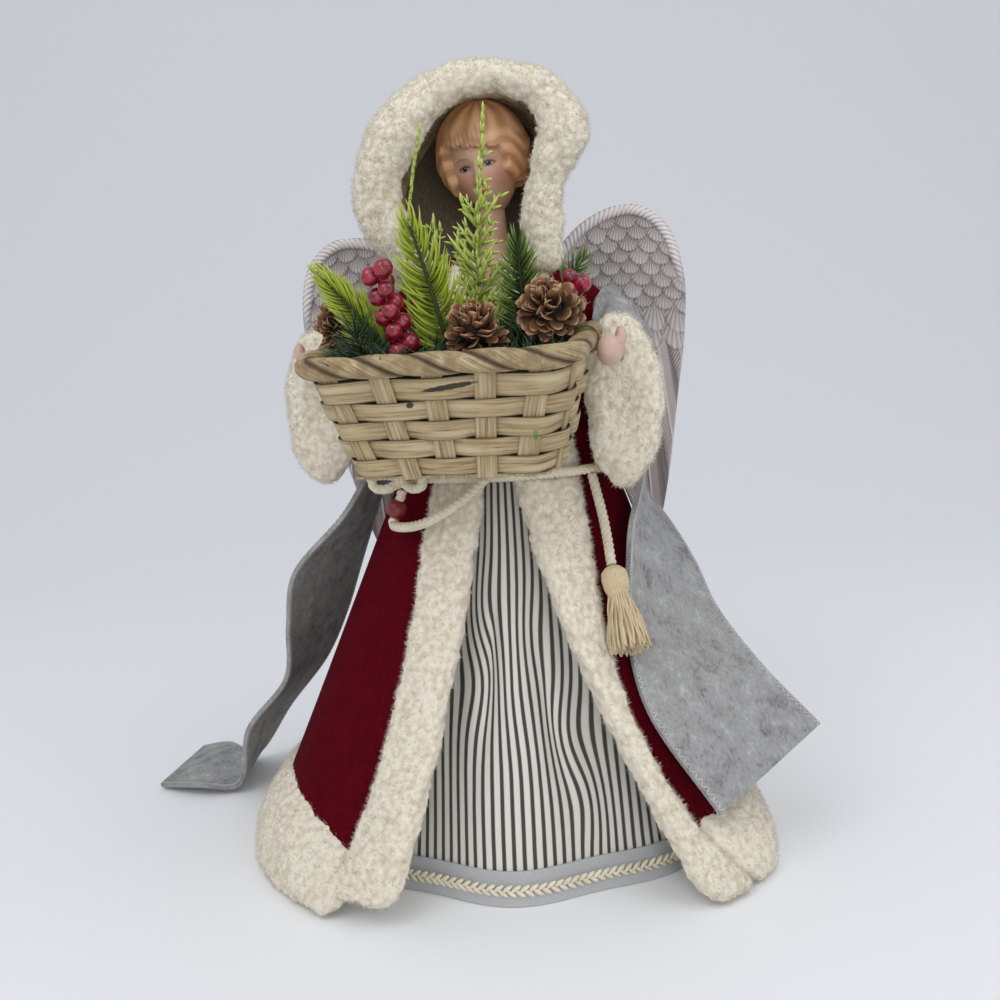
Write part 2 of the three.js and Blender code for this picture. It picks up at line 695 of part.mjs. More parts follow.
addPart("porcelain_head", fuse([loft(bustRings), headShape()]), "porcelain");

// Hood: a fleece roll round the face and a felt shell that closes behind the head
const hoodRim = new THREE.CatmullRomCurve3([
  vector(-44, -31, COLLAR_Z + 3),
  vector(-56, -33, 331),
  vector(-54, -36, 353),
  vector(-41, -38, 373),
  vector(-20, -38, 387),
  vector(4, -36, 390),
  vector(27, -36, 382),
  vector(36, -36, 366),
  vector(31, -36, 349),
  vector(27, -34, 334),
  vector(28, -34, COLLAR_Z + 3),
]);
const hoodRoll = bar(hoodRim, (t) => HOOD_ROLL_RADIUS * (0.96 - 0.1 * Math.cos(t * 9)), 20, 8);
addPart("hood_trim", hoodRoll, "fleece");
const hoodMiddleX = -7;
const hoodFrontY = -36 + HOOD_ROLL_RADIUS + 4.2;
const hoodSurface = (u, v) => {
  const edge = hoodRim.getPoint(u);
  const rise = Math.sin(u * Math.PI) ** 0.6;
  const turn = v * (Math.PI / 2 - 0.008);
  const inward = Math.cos(turn) ** 0.75;
  const backward = Math.sin(turn) ** 0.85;
  const seamZ = lerp(COLLAR_Z + HOOD_CLOTH, HOOD_SEAM_TOP_Z, rise);
  const depth = lerp(HOOD_NECK_DEPTH, HOOD_DEPTH, rise);
  const x = hoodMiddleX + (edge.x - hoodMiddleX) * inward;
  return vector(x, hoodFrontY + depth * backward, lerp(edge.z, seamZ, v ** 2.6));
};
addPart("hood", evenCloth(hoodSurface, HOOD_CLOTH, 16, 7), "coatFelt");

// Felt stole: a long band round the back, under both arms, with two hanging tails
const stoleLift = COAT_CLOTH / 2 + STOLE_CLOTH / 2 + 2.4;
const backStation = (degrees, z) => {
  const angle = radians(degrees);
  return roundPoint(angle, coatRadius(angle, z) + stoleLift, z);
};
const stoleBackTurns = [250, 225, 200, 180, 160, 135, 110];
const stoleUpper = new THREE.CatmullRomCurve3([
  vector(-228, 50, 3),
  vector(-200, 36, 7),
  vector(-176, 36, 6),
  vector(-164, 27, 44),
  vector(-136, 16, 78),
  vector(-130, 6, 112),
  vector(-123, 0, 142),
  vector(-90, -6, 177),
  vector(-72, 4, 206),
  ...stoleBackTurns.map((turn) => backStation(turn, WAIST_Z + 40)),
  vector(75, -4, 208),
  vector(68, -34, 186),
  vector(60, -60, 168),
  vector(64, -70, 148),
  vector(69, -84, 120),
  vector(72, -101, 84),
  vector(89, -116, 42),
]);
const stoleLower = new THREE.CatmullRomCurve3([
  vector(-218, 112, 3),
  vector(-196, 100, 9),
  vector(-178, 92, 5),
  vector(-150, 88, 40),
  vector(-122, 76, 74),
  vector(-104, 62, 108),
  vector(-92, 52, 138),
  vector(-80, 42, 168),
  vector(-70, 30, 190),
  ...stoleBackTurns.map((turn) => backStation(turn, WAIST_Z + 11)),
  vector(72, 26, 188),
  vector(80, 12, 172),
  vector(88, -8, 160),
  vector(97, -26, 142),
  vector(104, -44, 122),
  vector(122, -62, 96),
  vector(150, -66, 64),
]);
const stoleSurface = (u, v) => stoleUpper.getPoint(u).lerp(stoleLower.getPoint(u), v);
addPart("felt_stole", evenCloth(stoleSurface, STOLE_CLOTH, 54, 2), "greyFelt");

// Waist cord, bow, bead and hanging swag
const cordRing = [];
for (let k = 0; k < 24; k++) {
  const angle = (k / 24) * Math.PI * 2;
  const over = Math.max(0, Math.cos(angle * 0.5) ** 2 * 2 - 0.55);
  const front = Math.min(1, over * 3);
  const lift = lerp(COAT_CLOTH / 2, FLEECE_OUTWARD, front) + CORD_RADIUS + CLOTH_CLEARANCE;
  cordRing.push(roundPoint(angle, coatRadius(angle, WAIST_Z + 2) + lift, WAIST_Z + 2));
}
const waistCurve = new THREE.CatmullRomCurve3(cordRing, true);
addPart("waist_cord", bar(waistCurve, CORD_RADIUS, 36, 6, true), "cord");

// Basket, modelled upright about the middle of its rim and then tipped forward and turned
const basketPlace = new THREE.Matrix4().makeTranslation(BASKET_X, BASKET_Y, BASKET_RIM_Z);
basketPlace.multiply(new THREE.Matrix4().makeRotationZ(radians(BASKET_YAW)));
basketPlace.multiply(new THREE.Matrix4().makeRotationX(radians(BASKET_TILT)));
function addBasketPart(name, geometry, material) {
  geometry.applyMatrix4(basketPlace);
  geometry.computeVertexNormals();
  return addPart(name, geometry, material);
}

// A point on the basket's rounded oblong plan, by side, by share along that side and by depth below the rim
function basketSize(depth) {
  const s = depth / BASKET_HEIGHT;
  return {
    x: lerp(BASKET_RIM_HALF_WIDTH, BASKET_BASE_HALF_WIDTH, s),
    y: lerp(BASKET_RIM_HALF_DEPTH, BASKET_BASE_HALF_DEPTH, s),
  };
}
const basketSides = [
  { along: [1, 0], out: [0, -1], stakes: STAKES_LONG_SIDE },
  { along: [0, 1], out: [1, 0], stakes: STAKES_SHORT_SIDE },
  { along: [-1, 0], out: [0, 1], stakes: STAKES_LONG_SIDE },
  { along: [0, -1], out: [-1, 0], stakes: STAKES_SHORT_SIDE },
];
function wallPoint(side, shift, outward, depth) {
  const size = basketSize(depth);
  const reach = Math.abs(side.out[0]) * size.x + Math.abs(side.out[1]) * size.y + outward;
  const x = side.along[0] * shift + side.out[0] * reach;
  const y = side.along[1] * shift + side.out[1] * reach;
  return vector(x, y, -depth);
}
function stakeShift(side, number, depth) {
  const size = basketSize(depth);
  const half = Math.abs(side.along[0]) * size.x + Math.abs(side.along[1]) * size.y - BASKET_CORNER_RADIUS;
  return lerp(-half, half, number / (side.stakes - 1)) * (1 - 0.12 * (side.stakes === STAKES_SHORT_SIDE));
}

// Upright stakes fused to the basket floor
const rimGap = BASKET_RIM_RADIUS + CLEARANCE;
const floorDepth = BASKET_HEIGHT - STAKE_THICKNESS;
const stakeShapes = [];
for (const side of basketSides) {
  for (let number = 0; number < side.stakes; number++) {
    const rings = [];
    for (const depth of [rimGap, BASKET_HEIGHT]) {
      const middle = stakeShift(side, number, depth);
      const half = STAKE_THICKNESS / 2;
      const corners = [[-1, -1], [1, -1], [1, 1], [-1, 1]];
      rings.push(corners.map(([a, b]) => wallPoint(side, middle + (a * STAKE_WIDTH) / 2, b * half, depth)));
    }
    stakeShapes.push(loft(rings));
  }
}
const floorSize = basketSize(BASKET_HEIGHT);
const floorPlate = new THREE.BoxGeometry(2 * floorSize.x, 2 * floorSize.y, STAKE_THICKNESS);
floorPlate.translate(0, 0, -floorDepth - STAKE_THICKNESS / 2);
addBasketPart("basket_stakes", fuse([...stakeShapes, floorPlate]), "bamboo");

// Weavers: flat strips that pass alternately outside and inside the stakes
const weaverTop = rimGap + 2 * TIE_WIRE_RADIUS + 0.6;
const weaverPitch = (floorDepth - CLEARANCE - weaverTop) / WEAVER_ROWS;
const weaverSway = (STAKE_THICKNESS + WEAVER_THICKNESS) / 2 + CLEARANCE;
for (let row = 0; row < WEAVER_ROWS; row++) {
  const upper = weaverTop + row * weaverPitch + CLEARANCE / 2;
  const lower = upper + weaverPitch - CLEARANCE;
  const path = [];
  let count = row;
  for (const side of basketSides) {
    for (let number = 0; number < side.stakes; number++) {
      const sway = count % 2 === 0 ? weaverSway : -weaverSway;
      path.push({ side, number, edge: -1, sway });
      path.push({ side, number, edge: 1, sway });
      count++;
    }
  }
  const rings = path.map(({ side, number, edge, sway }) => {
    const section = [[upper, -1], [upper, 1], [lower, 1], [lower, -1]];
    return section.map(([depth, b]) => {
      const shift = stakeShift(side, number, depth) + edge * (STAKE_WIDTH / 2 + 0.4);
      return wallPoint(side, shift, sway + (b * WEAVER_THICKNESS) / 2, depth);
    });
  });
  addBasketPart(`basket_weaver_${row + 1}`, loft(rings, true), "bamboo");
}

// Wrapped rim: a bar with a spiral of raised turns
const rimOutline = new THREE.Shape();
const rimX = BASKET_RIM_HALF_WIDTH;
const rimY = BASKET_RIM_HALF_DEPTH;
const corner = BASKET_CORNER_RADIUS;
rimOutline.moveTo(-rimX + corner, -rimY);
rimOutline.lineTo(rimX - corner, -rimY);
rimOutline.absarc(rimX - corner, -rimY + corner, corner, -Math.PI / 2, 0);
rimOutline.lineTo(rimX, rimY - corner);
rimOutline.absarc(rimX - corner, rimY - corner, corner, 0, Math.PI / 2);
rimOutline.lineTo(-rimX + corner, rimY);
rimOutline.absarc(-rimX + corner, rimY - corner, corner, Math.PI / 2, Math.PI);
rimOutline.lineTo(-rimX, -rimY + corner);
rimOutline.absarc(-rimX + corner, -rimY + corner, corner, Math.PI, Math.PI * 1.5);
const rimSteps = 46;
const rimRings = [];
for (let i = 0; i < rimSteps; i++) {
  const here = rimOutline.getPointAt(i / rimSteps);
  const ahead = rimOutline.getTangentAt(i / rimSteps);
  const ring = [];
  for (let k = 0; k < 6; k++) {
    const turn = (k / 6) * Math.PI * 2 + i * 0.26;
    const size = BASKET_RIM_RADIUS * (k % 3 === 0 ? 1 : 0.86);
    const out = size * Math.cos(turn);
    ring.push(vector(here.x + ahead.y * out, here.y - ahead.x * out, size * Math.sin(turn)));
  }
  rimRings.push(ring);
}
addBasketPart("basket_rim", loft(rimRings, true), "bamboo");

// Floral foam that fills the basket
const foamInset = weaverSway + WEAVER_THICKNESS / 2 + CLOTH_CLEARANCE;
const foamTop = 8;
const foamRings = [foamTop, floorDepth - CLEARANCE].map((depth) => {
  const size = basketSize(depth);
  const x = size.x - foamInset - 1;
  const y = size.y - foamInset - 1;
  const trim = 5;
  return [
    vector(-x + trim, -y, -depth),
    vector(x - trim, -y, -depth),
    vector(x, -y + trim, -depth),
    vector(x, y - trim, -depth),
    vector(x - trim, y, -depth),
    vector(-x + trim, y, -depth),
    vector(-x, y - trim, -depth),
    vector(-x, -y + trim, -depth),
  ];
});
addBasketPart("floral_foam", loft(foamRings), "floralFoam");

// Loops of wire that tie both ends of the rim to the hands
function tieLoop(sign) {
  const inside = BASKET_RIM_RADIUS + CLEARANCE + 0.1;
  const loop = new THREE.TorusGeometry(inside + TIE_WIRE_RADIUS, TIE_WIRE_RADIUS, 4, 14);
  loop.rotateX(Math.PI / 2);
  loop.translate(sign * BASKET_RIM_HALF_WIDTH, TIE_OFFSET_Y, 0);
  return loop;
}
addBasketPart("right_tie_wire", tieLoop(1), "steel");
addBasketPart("left_tie_wire", tieLoop(-1), "steel");

// A slanted stem starts high enough for its lower edge to rest on the foam
function rooted(from, towards, radius) {
  const ahead = towards.clone().sub(from).normalize();
  return from.setZ(from.z + radius * Math.sqrt(1 - ahead.z * ahead.z));
}
// Sprigs: a tapering stem set with needles that lean towards its tip
function sprig({ base, tip, bow, needles, length, spread, thickness, stem, turns }) {
  const from = vector(...base);
  const to = vector(...tip);
  const middle = from.clone().lerp(to, 0.5).add(vector(...bow));
  const spine = new THREE.QuadraticBezierCurve3(rooted(from, middle, stem), middle, to);
  const shapes = [bar(spine, (t) => stem * (1 - 0.6 * t), 3, 5)];
  for (let k = 0; k < needles; k++) {
    const t = lerp(0.3, 0.97, k / (needles - 1));
    const ahead = spine.getTangentAt(t);
    const across = ahead.clone().cross(vector(0.2, 1, 0.1)).normalize();
    across.applyAxisAngle(ahead, k * turns);
    const reach = length * (1 - 0.35 * t);
    const aim = ahead.multiplyScalar(Math.cos(spread)).addScaledVector(across, Math.sin(spread));
    const needle = new THREE.ConeGeometry(thickness, reach, 3, 1);
    needle.translate(0, reach / 2, 0);
    needle.applyQuaternion(new THREE.Quaternion().setFromUnitVectors(vector(0, 1, 0), aim));
    const root = spine.getPointAt(t);
    needle.translate(root.x, root.y, root.z);
    shapes.push(needle);
  }
  return fuse(shapes);
}
const sprigFoot = -foamTop + CLEARANCE;
const sprigs = {
  pine_sprig_left: {
    base: [-26, 0, sprigFoot], tip: [-54, -5, 36], bow: [-2, 0, 6],
    needles: 10, length: 16, spread: 0.8, thickness: 0.9, stem: 1.5, turns: 2.4, material: "lightGreen",
  },
  pine_sprig_tall: {
    base: [2, -4, sprigFoot], tip: [-10, -6, 56], bow: [2, -2, 0],
    needles: 11, length: 17, spread: 0.75, thickness: 0.9, stem: 1.6, turns: 2.4, material: "lightGreen",
  },
  cedar_sprig: {
    base: [8, 14, sprigFoot], tip: [22, 19, 102], bow: [-3, 2, 0],
    needles: 9, length: 15, spread: 0.7, thickness: 1.2, stem: 1.3, turns: 3.3, material: "cedarGreen",
  },
  fir_sprig_middle: {
    base: [33, 9, sprigFoot], tip: [34, 8, 44], bow: [0, 0, 0],
    needles: 8, length: 11, spread: 0.9, thickness: 0.9, stem: 1.4, turns: 2.4, material: "darkGreen",
  },
  fir_sprig_right: {
    base: [42, 20, sprigFoot], tip: [60, 24, 34], bow: [-4, 0, 6],
    needles: 7, length: 10, spread: 0.9, thickness: 0.9, stem: 1.4, turns: 2.4, material: "darkGreen",
  },
  needle_tuft_left: {
    base: [-37, -14, sprigFoot], tip: [-38, -17, 14], bow: [0, 0, 2],
    needles: 7, length: 16, spread: 1.1, thickness: 0.7, stem: 1.6, turns: 2.4, material: "darkGreen",
  },
  bare_twig: {
    base: [-22, 12, sprigFoot], tip: [-7, 15, 96], bow: [-10, 0, 0],
    needles: 3, length: 10, spread: 0.5, thickness: 0.8, stem: 1.1, turns: 2.4, material: "cedarGreen",
  },
};
for (const [name, shape] of Object.entries(sprigs)) {
  addBasketPart(name, sprig(shape), shape.material);
}

// Pine cones: an egg-shaped core covered by a spiral of scales, on a short peg
function pineCone(foot, [x, y, z], radius, lean) {
  const core = ball(0, 0, 0, 0.72 * radius, 0.72 * radius, 0.95 * radius, 8, 6);
  const shapes = [core];
  const scales = 12;
  for (let k = 0; k < scales; k++) {
    const level = lerp(-0.75, 0.85, k / (scales - 1));
    const ring = Math.sqrt(1 - 0.8 * level * level);
    const scale = new THREE.ConeGeometry(0.42 * radius, 0.9 * radius, 4, 1);
    scale.scale(1, 1, 0.4);
    scale.rotateZ(-Math.PI / 2 + 0.5 * level + 0.25);
    scale.translate(0.62 * radius * ring, 0, 0);
    scale.rotateX(Math.PI / 2);
    scale.rotateZ(k * 2.4);
    scale.translate(0, 0, 0.85 * radius * level);
    shapes.push(scale);
  }
  const cone = fuse(shapes);
  cone.rotateX(lean);
  cone.translate(x, y, z);
  const centre = vector(x, y, z);
  const peg = tube(new THREE.LineCurve3(rooted(vector(...foot, sprigFoot), centre, 1.2), centre), 1.2, 1, 5);
  return fuse([cone, peg]);
}
addBasketPart("pine_cone_left", pineCone([-47, 6], [-56, 5, 16], 9.5, 0.5), "cone");
addBasketPart("pine_cone_middle", pineCone([17, -14], [17, -18, 13], 12, 0.9), "cone");
addBasketPart("pine_cone_right", pineCone([45, -6], [48, -6, 18], 12.5, 0.7), "cone");

// Berry clusters: round berries threaded up a thin stalk
function berries(base, tip, count, radius) {
  const top = vector(...tip);
  const stalk = new THREE.LineCurve3(rooted(vector(...base), top, 1), top);
  const shapes = [tube(stalk, 1, 1, 5)];
  for (let k = 0; k < count; k++) {
    const place = stalk.getPoint(lerp(0.5, 0.97, k / (count - 1)));
    const turn = k * 2.2;
    const reach = 0.9 * radius;
    const x = place.x + reach * Math.cos(turn);
    const y = place.y + 0.6 * reach * Math.sin(turn);
    shapes.push(ball(x, y, place.z, radius, radius, radius, 6, 4));
  }
  return fuse(shapes);
}
addBasketPart("berries_left", berries([-16, -13, sprigFoot], [-24, -16, 40], 6, 4.4), "berry");
addBasketPart("berries_right", berries([47, 10, sprigFoot], [58, 10, 27], 4, 4), "berry");

// Waist bow: two loops and two short ends out of one knot beside the front border
const hang = (degrees, z, lift) => {
  const angle = radians(degrees);
  return roundPoint(angle, coatRadius(angle, Math.min(z, WAIST_Z)) + FLEECE_OUTWARD + lift, z);
};
const beyondCord = 3 * CORD_RADIUS + CLOTH_CLEARANCE + CLEARANCE;
const knot = hang(-50, WAIST_Z + 2, beyondCord + 1);
function bowLoop(...offsets) {
  const points = offsets.map((offset) => knot.clone().add(vector(...offset)));
  return tube(new THREE.CatmullRomCurve3([knot.clone(), ...points, knot.clone()]), CORD_RADIUS, 10);
}
const bowShapes = [
  ball(knot.x, knot.y, knot.z, 1.7 * CORD_RADIUS, 1.6 * CORD_RADIUS, 1.7 * CORD_RADIUS),
  bowLoop([-8, -1, 6], [-15, 1, 5], [-14, -1, -3], [-7, -3, -4]),
  bowLoop([6, -6, 7], [11, -11, 5], [11, -11, -2], [5, -6, -4]),
];
addPart("cord_bow", fuse(bowShapes), "cord");

// Free swag of the waist cord from the front of the waist to a threaded bead under the bow
const beadCentre = hang(-52, WAIST_Z - 13, CORD_RADIUS + 2.5);
const swagEnd = vector(knot.x, knot.y, knot.z - 1.7 * CORD_RADIUS - CLEARANCE - 0.6);
const beadAxis = swagEnd.clone().sub(beadCentre).normalize();
const swagCurve = new THREE.CatmullRomCurve3([
  hang(-10, WAIST_Z + 2, beyondCord),
  hang(-20, WAIST_Z - 8, beyondCord),
  hang(-32, WAIST_Z - 17, beyondCord - 1),
  hang(-43, WAIST_Z - 21, CORD_RADIUS + 2.5),
  beadCentre.clone().addScaledVector(beadAxis, -1.5 * BEAD_RADIUS),
  beadCentre.clone().addScaledVector(beadAxis, -0.8 * BEAD_RADIUS),
  beadCentre,
  beadCentre.clone().addScaledVector(beadAxis, BEAD_RADIUS),
  swagEnd,
]);
addPart("cord_swag", tube(swagCurve, CORD_RADIUS, 20), "cord");
const beadProfile = [];
for (let k = 0; k <= 5; k++) {
  const turn = lerp(-0.9, 0.9, k / 5);
  beadProfile.push(new THREE.Vector2(BEAD_RADIUS * Math.cos(turn), BEAD_RADIUS * Math.sin(turn)));
}
const beadBore = CORD_RADIUS + CLOTH_CLEARANCE;
beadProfile.push(new THREE.Vector2(beadBore, beadProfile[5].y));
beadProfile.push(new THREE.Vector2(beadBore, beadProfile[0].y));
beadProfile.push(beadProfile[0].clone());
const bead = new THREE.LatheGeometry(beadProfile, 12);
bead.applyQuaternion(new THREE.Quaternion().setFromUnitVectors(vector(0, 1, 0), beadAxis));
bead.translate(beadCentre.x, beadCentre.y, beadCentre.z);
addPart("cord_bead", bead, "bead");

// Tassel on the cord's other end, lying down the slope of the coat
const tasselTop = hang(43, WAIST_Z + 2 - 0.95 * CORD_RADIUS - CLEARANCE, CORD_RADIUS + CLOTH_CLEARANCE);
const tasselNeck = hang(34.5, 153, TASSEL_HEAD_RADIUS - 1);
const tasselCurve = new THREE.CatmullRomCurve3([
  tasselTop,
  hang(39, 172, CORD_RADIUS + 1),
  tasselNeck,
]);
addPart("tassel_cord", tube(tasselCurve, CORD_RADIUS, 6), "cord");
const tasselAxis = hang(29.5, 108, TASSEL_SKIRT_RADIUS - 0.6).sub(tasselNeck).normalize();
const tasselProfile = [
  [0, CLEARANCE],
  [0.6 * TASSEL_HEAD_RADIUS, CLEARANCE],
  [TASSEL_HEAD_RADIUS, 3],
  [TASSEL_HEAD_RADIUS, TASSEL_HEAD_LENGTH - 4],
  [0.7 * TASSEL_HEAD_RADIUS, TASSEL_HEAD_LENGTH],
  [0.9 * TASSEL_SKIRT_RADIUS, TASSEL_HEAD_LENGTH + 8],
  [TASSEL_SKIRT_RADIUS, TASSEL_HEAD_LENGTH + TASSEL_SKIRT_LENGTH],
  [0, TASSEL_HEAD_LENGTH + TASSEL_SKIRT_LENGTH],
].map(([radius, along]) => new THREE.Vector2(radius, along));
const tassel = new THREE.LatheGeometry(tasselProfile, 14);
tassel.applyQuaternion(new THREE.Quaternion().setFromUnitVectors(vector(0, 1, 0), tasselAxis));
tassel.translate(tasselNeck.x, tasselNeck.y, tasselNeck.z);
addPart("tassel", tassel, "tassel");

// Wings: a cast plate with a root tab, a leading ridge, rows of short feathers and long lower feathers
const wingPivot = vector(0, 0, bracketZ);
const wingRootX = 5;
const wingScrewX = 16;
function placeWing(geometry) {
  geometry.translate(-wingPivot.x, 0, -wingPivot.z);
  geometry.rotateY(radians(-WING_TILT));
  geometry.translate(wingPivot.x, 0, wingPivot.z);
  return geometry;
}
const leadingEdge = [[28, 288], [42, 315], [63, 331], [88, 335], [106, 322], [114, 292]];
const trailingEdge = [[111, 256], [104, 222], [98, 192], [92, 166], [86, 146], [81, 136]];
const innerEdge = [[72, 150], [62, 180], [50, 210], [38, 230]];
const points2 = (list) => list.map(([x, z]) => new THREE.Vector2(x, z));
const wingShape = new THREE.Shape();
wingShape.moveTo(wingRootX, bracketZ - 9);
wingShape.lineTo(wingRootX, bracketZ + 9);
wingShape.lineTo(27, bracketZ + 14);
wingShape.splineThru(points2([...leadingEdge, ...trailingEdge]));
wingShape.splineThru(points2(innerEdge));
wingShape.lineTo(27, bracketZ - 12);
function wingPlate(front, back) {
  const plate = new THREE.ExtrudeGeometry(wingShape, { depth: back - front, bevelEnabled: false, curveSegments: 1 });
  plate.rotateX(Math.PI / 2);
  plate.translate(0, back, 0);
  return plate;
}
function feather(x, z, width, length, lean, lift) {
  const half = width / 2;
  const outline = new THREE.Shape(points2([
    [-half, 0],
    [-1.04 * half, -0.7 * length],
    [-0.6 * half, -0.93 * length],
    [0, -length],
    [0.6 * half, -0.93 * length],
    [1.04 * half, -0.7 * length],
    [half, 0],
  ]));
  const blade = new THREE.ExtrudeGeometry(outline, { depth: lift + 1, bevelEnabled: false });
  blade.rotateX(Math.PI / 2);
  blade.translate(0, WING_Y + 1, 0);
  blade.rotateY(-lean);
  blade.translate(x, 0, z);
  return blade;
}
function wing() {
  const shapes = [];
  const longFeathers = [
    [48, 44, 0.06], [61, 72, 0.05], [74, 98, 0.03], [87, 98, -0.05], [99, 66, -0.1],
  ];
  longFeathers.forEach(([x, length, lean], k) => {
    shapes.push(feather(x, 246, 14.5, length, lean, FEATHER_THICKNESS * (0.5 + 0.22 * (k % 2))));
  });
  for (let row = 0; row < 4; row++) {
    const z = 262 + row * 18;
    const from = 40 + 4 * row;
    const to = 104 - 4 * row;
    const count = 5 - (row % 2);
    for (let k = 0; k < count; k++) {
      const x = lerp(from, to, k / (count - 1));
      const lift = FEATHER_THICKNESS * (0.95 + 0.3 * row + 0.14 * (k % 2));
      shapes.push(feather(x, z, 17, 26, 0.05, lift));
    }
  }
  const ridgeCurve = new THREE.CatmullRomCurve3([
    vector(31, WING_Y + 1, 290),
    vector(45, WING_Y + 1, 312),
    vector(64, WING_Y + 1, 326),
    vector(87, WING_Y + 1, 330),
    vector(103, WING_Y + 1, 318),
    vector(110, WING_Y + 1, 294),
  ]);
  const ridge = bar(ridgeCurve, (t) => 4.5 - 1.5 * t, 8, 5);
  const relief = toSolid(fuse([...shapes, ridge]));
  const limit = toSolid(wingPlate(WING_Y - 12, WING_Y + 1.5));
  const plate = toSolid(wingPlate(WING_Y, WING_Y + WING_THICKNESS));
  const bore = cylinderAlongY(WING_SCREW_RADIUS + CLEARANCE, 60, wingScrewX, WING_Y, bracketZ);
  return plate.add(relief.intersect(limit)).subtract(toSolid(bore));
}
const rightWing = wing();
addPart("right_wing", placeWing(toGeometry(rightWing)), "resin");
addPart("left_wing", placeWing(toGeometry(rightWing.mirror([1, 0, 0]))), "resin");

// Wing bracket from the torso through the coat, and the two screws that hold the wings to it
const bracketFrontY = torsoBackY + CLEARANCE;
const bracketDepth = WING_Y - CLEARANCE - bracketFrontY;
const bracketBox = new THREE.BoxGeometry(bracketWidth, bracketDepth, bracketHeight);
bracketBox.translate(0, bracketFrontY + bracketDepth / 2, bracketZ);
const screwLength = 16;
const wingBackY = WING_Y + WING_THICKNESS;
const screwHoles = [-1, 1].map((sign) => {
  const length = 2 * screwLength + 2;
  return cylinderAlongY(WING_SCREW_RADIUS + CLEARANCE, length, sign * wingScrewX, wingBackY, bracketZ);
});
addPart("wing_bracket", placeWing(cut(bracketBox, ...screwHoles)), "foam");
for (const [name, sign] of [["right_wing_screw", 1], ["left_wing_screw", -1]]) {
  const profile = [
    [0, -screwLength],
    [WING_SCREW_RADIUS, -screwLength],
    [WING_SCREW_RADIUS, CLEARANCE],
    [2 * WING_SCREW_RADIUS, CLEARANCE],
    [1.6 * WING_SCREW_RADIUS, CLEARANCE + 1.6],
    [0, CLEARANCE + 1.8],
  ].map(([radius, along]) => new THREE.Vector2(radius, along));
  const screw = new THREE.LatheGeometry(profile, 12);
  screw.translate(sign * wingScrewX, wingBackY, bracketZ);
  addPart(name, placeWing(screw), "steel");
}

export default group;
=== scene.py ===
import math

import bpy
import numpy as np
from mathutils import Matrix, Quaternion, Vector


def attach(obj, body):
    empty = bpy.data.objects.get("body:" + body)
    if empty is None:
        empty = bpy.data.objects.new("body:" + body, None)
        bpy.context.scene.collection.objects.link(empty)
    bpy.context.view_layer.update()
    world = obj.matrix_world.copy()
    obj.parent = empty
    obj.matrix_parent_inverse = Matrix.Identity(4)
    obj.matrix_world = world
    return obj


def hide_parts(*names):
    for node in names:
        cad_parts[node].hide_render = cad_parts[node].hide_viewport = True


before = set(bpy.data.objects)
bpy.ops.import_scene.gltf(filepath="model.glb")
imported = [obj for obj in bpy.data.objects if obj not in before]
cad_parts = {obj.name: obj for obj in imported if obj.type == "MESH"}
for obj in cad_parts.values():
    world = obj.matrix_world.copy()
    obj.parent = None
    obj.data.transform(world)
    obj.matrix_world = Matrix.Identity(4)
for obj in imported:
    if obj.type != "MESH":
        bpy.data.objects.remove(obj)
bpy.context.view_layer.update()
mm = 0.001
fullTurn = 2 * math.pi
goldenTurn = 2.39996
chance = np.random.default_rng(16)
print("frame loaded,", len(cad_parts), "nodes")

# camera at the photograph's place and angle
view = {"place": (0, -0.575, 0.262), "target": (-0.005, 0, 0.178), "lens": 37.8, "sensor": 36, "roll": 3.4}
bpy.ops.object.camera_add(location=view["place"])
camera = bpy.context.object
camera.data.lens = view["lens"]
camera.data.sensor_width = view["sensor"]
camera.data.clip_start = 0.01
aim = Vector(view["target"]) - Vector(view["place"])
camera.rotation_mode = "QUATERNION"
camera.rotation_quaternion = aim.to_track_quat("-Z", "Y") @ Quaternion((0, 0, 1), -math.radians(view["roll"]))
bpy.context.scene.camera = camera
bpy.context.scene.view_settings.view_transform = "Standard"


# shader maths: a wrapped socket, and a finish that makes nodes
class Value:
    def __init__(self, finish, socket):
        self.finish = finish
        self.socket = socket

    def work(self, operation, first, second=0.0):
        return self.finish.node("ShaderNodeMath", {"operation": operation}, {0: first, 1: second})

    def __add__(self, other):
        return self.work("ADD", self, other)

    def __sub__(self, other):
        return self.work("SUBTRACT", self, other)

    def __mul__(self, other):
        return self.work("MULTIPLY", self, other)

    def __truediv__(self, other):
        return self.work("DIVIDE", self, other)

    def __pow__(self, other):
        return self.work("POWER", self, other)

    def __rsub__(self, other):
        return self.work("SUBTRACT", other, self)

    __radd__ = __add__
    __rmul__ = __mul__

    def sine(self):
        return self.work("SINE", self)

    def fraction(self):
        return self.work("FRACT", self)

    def size(self):
        return self.work("ABSOLUTE", self)


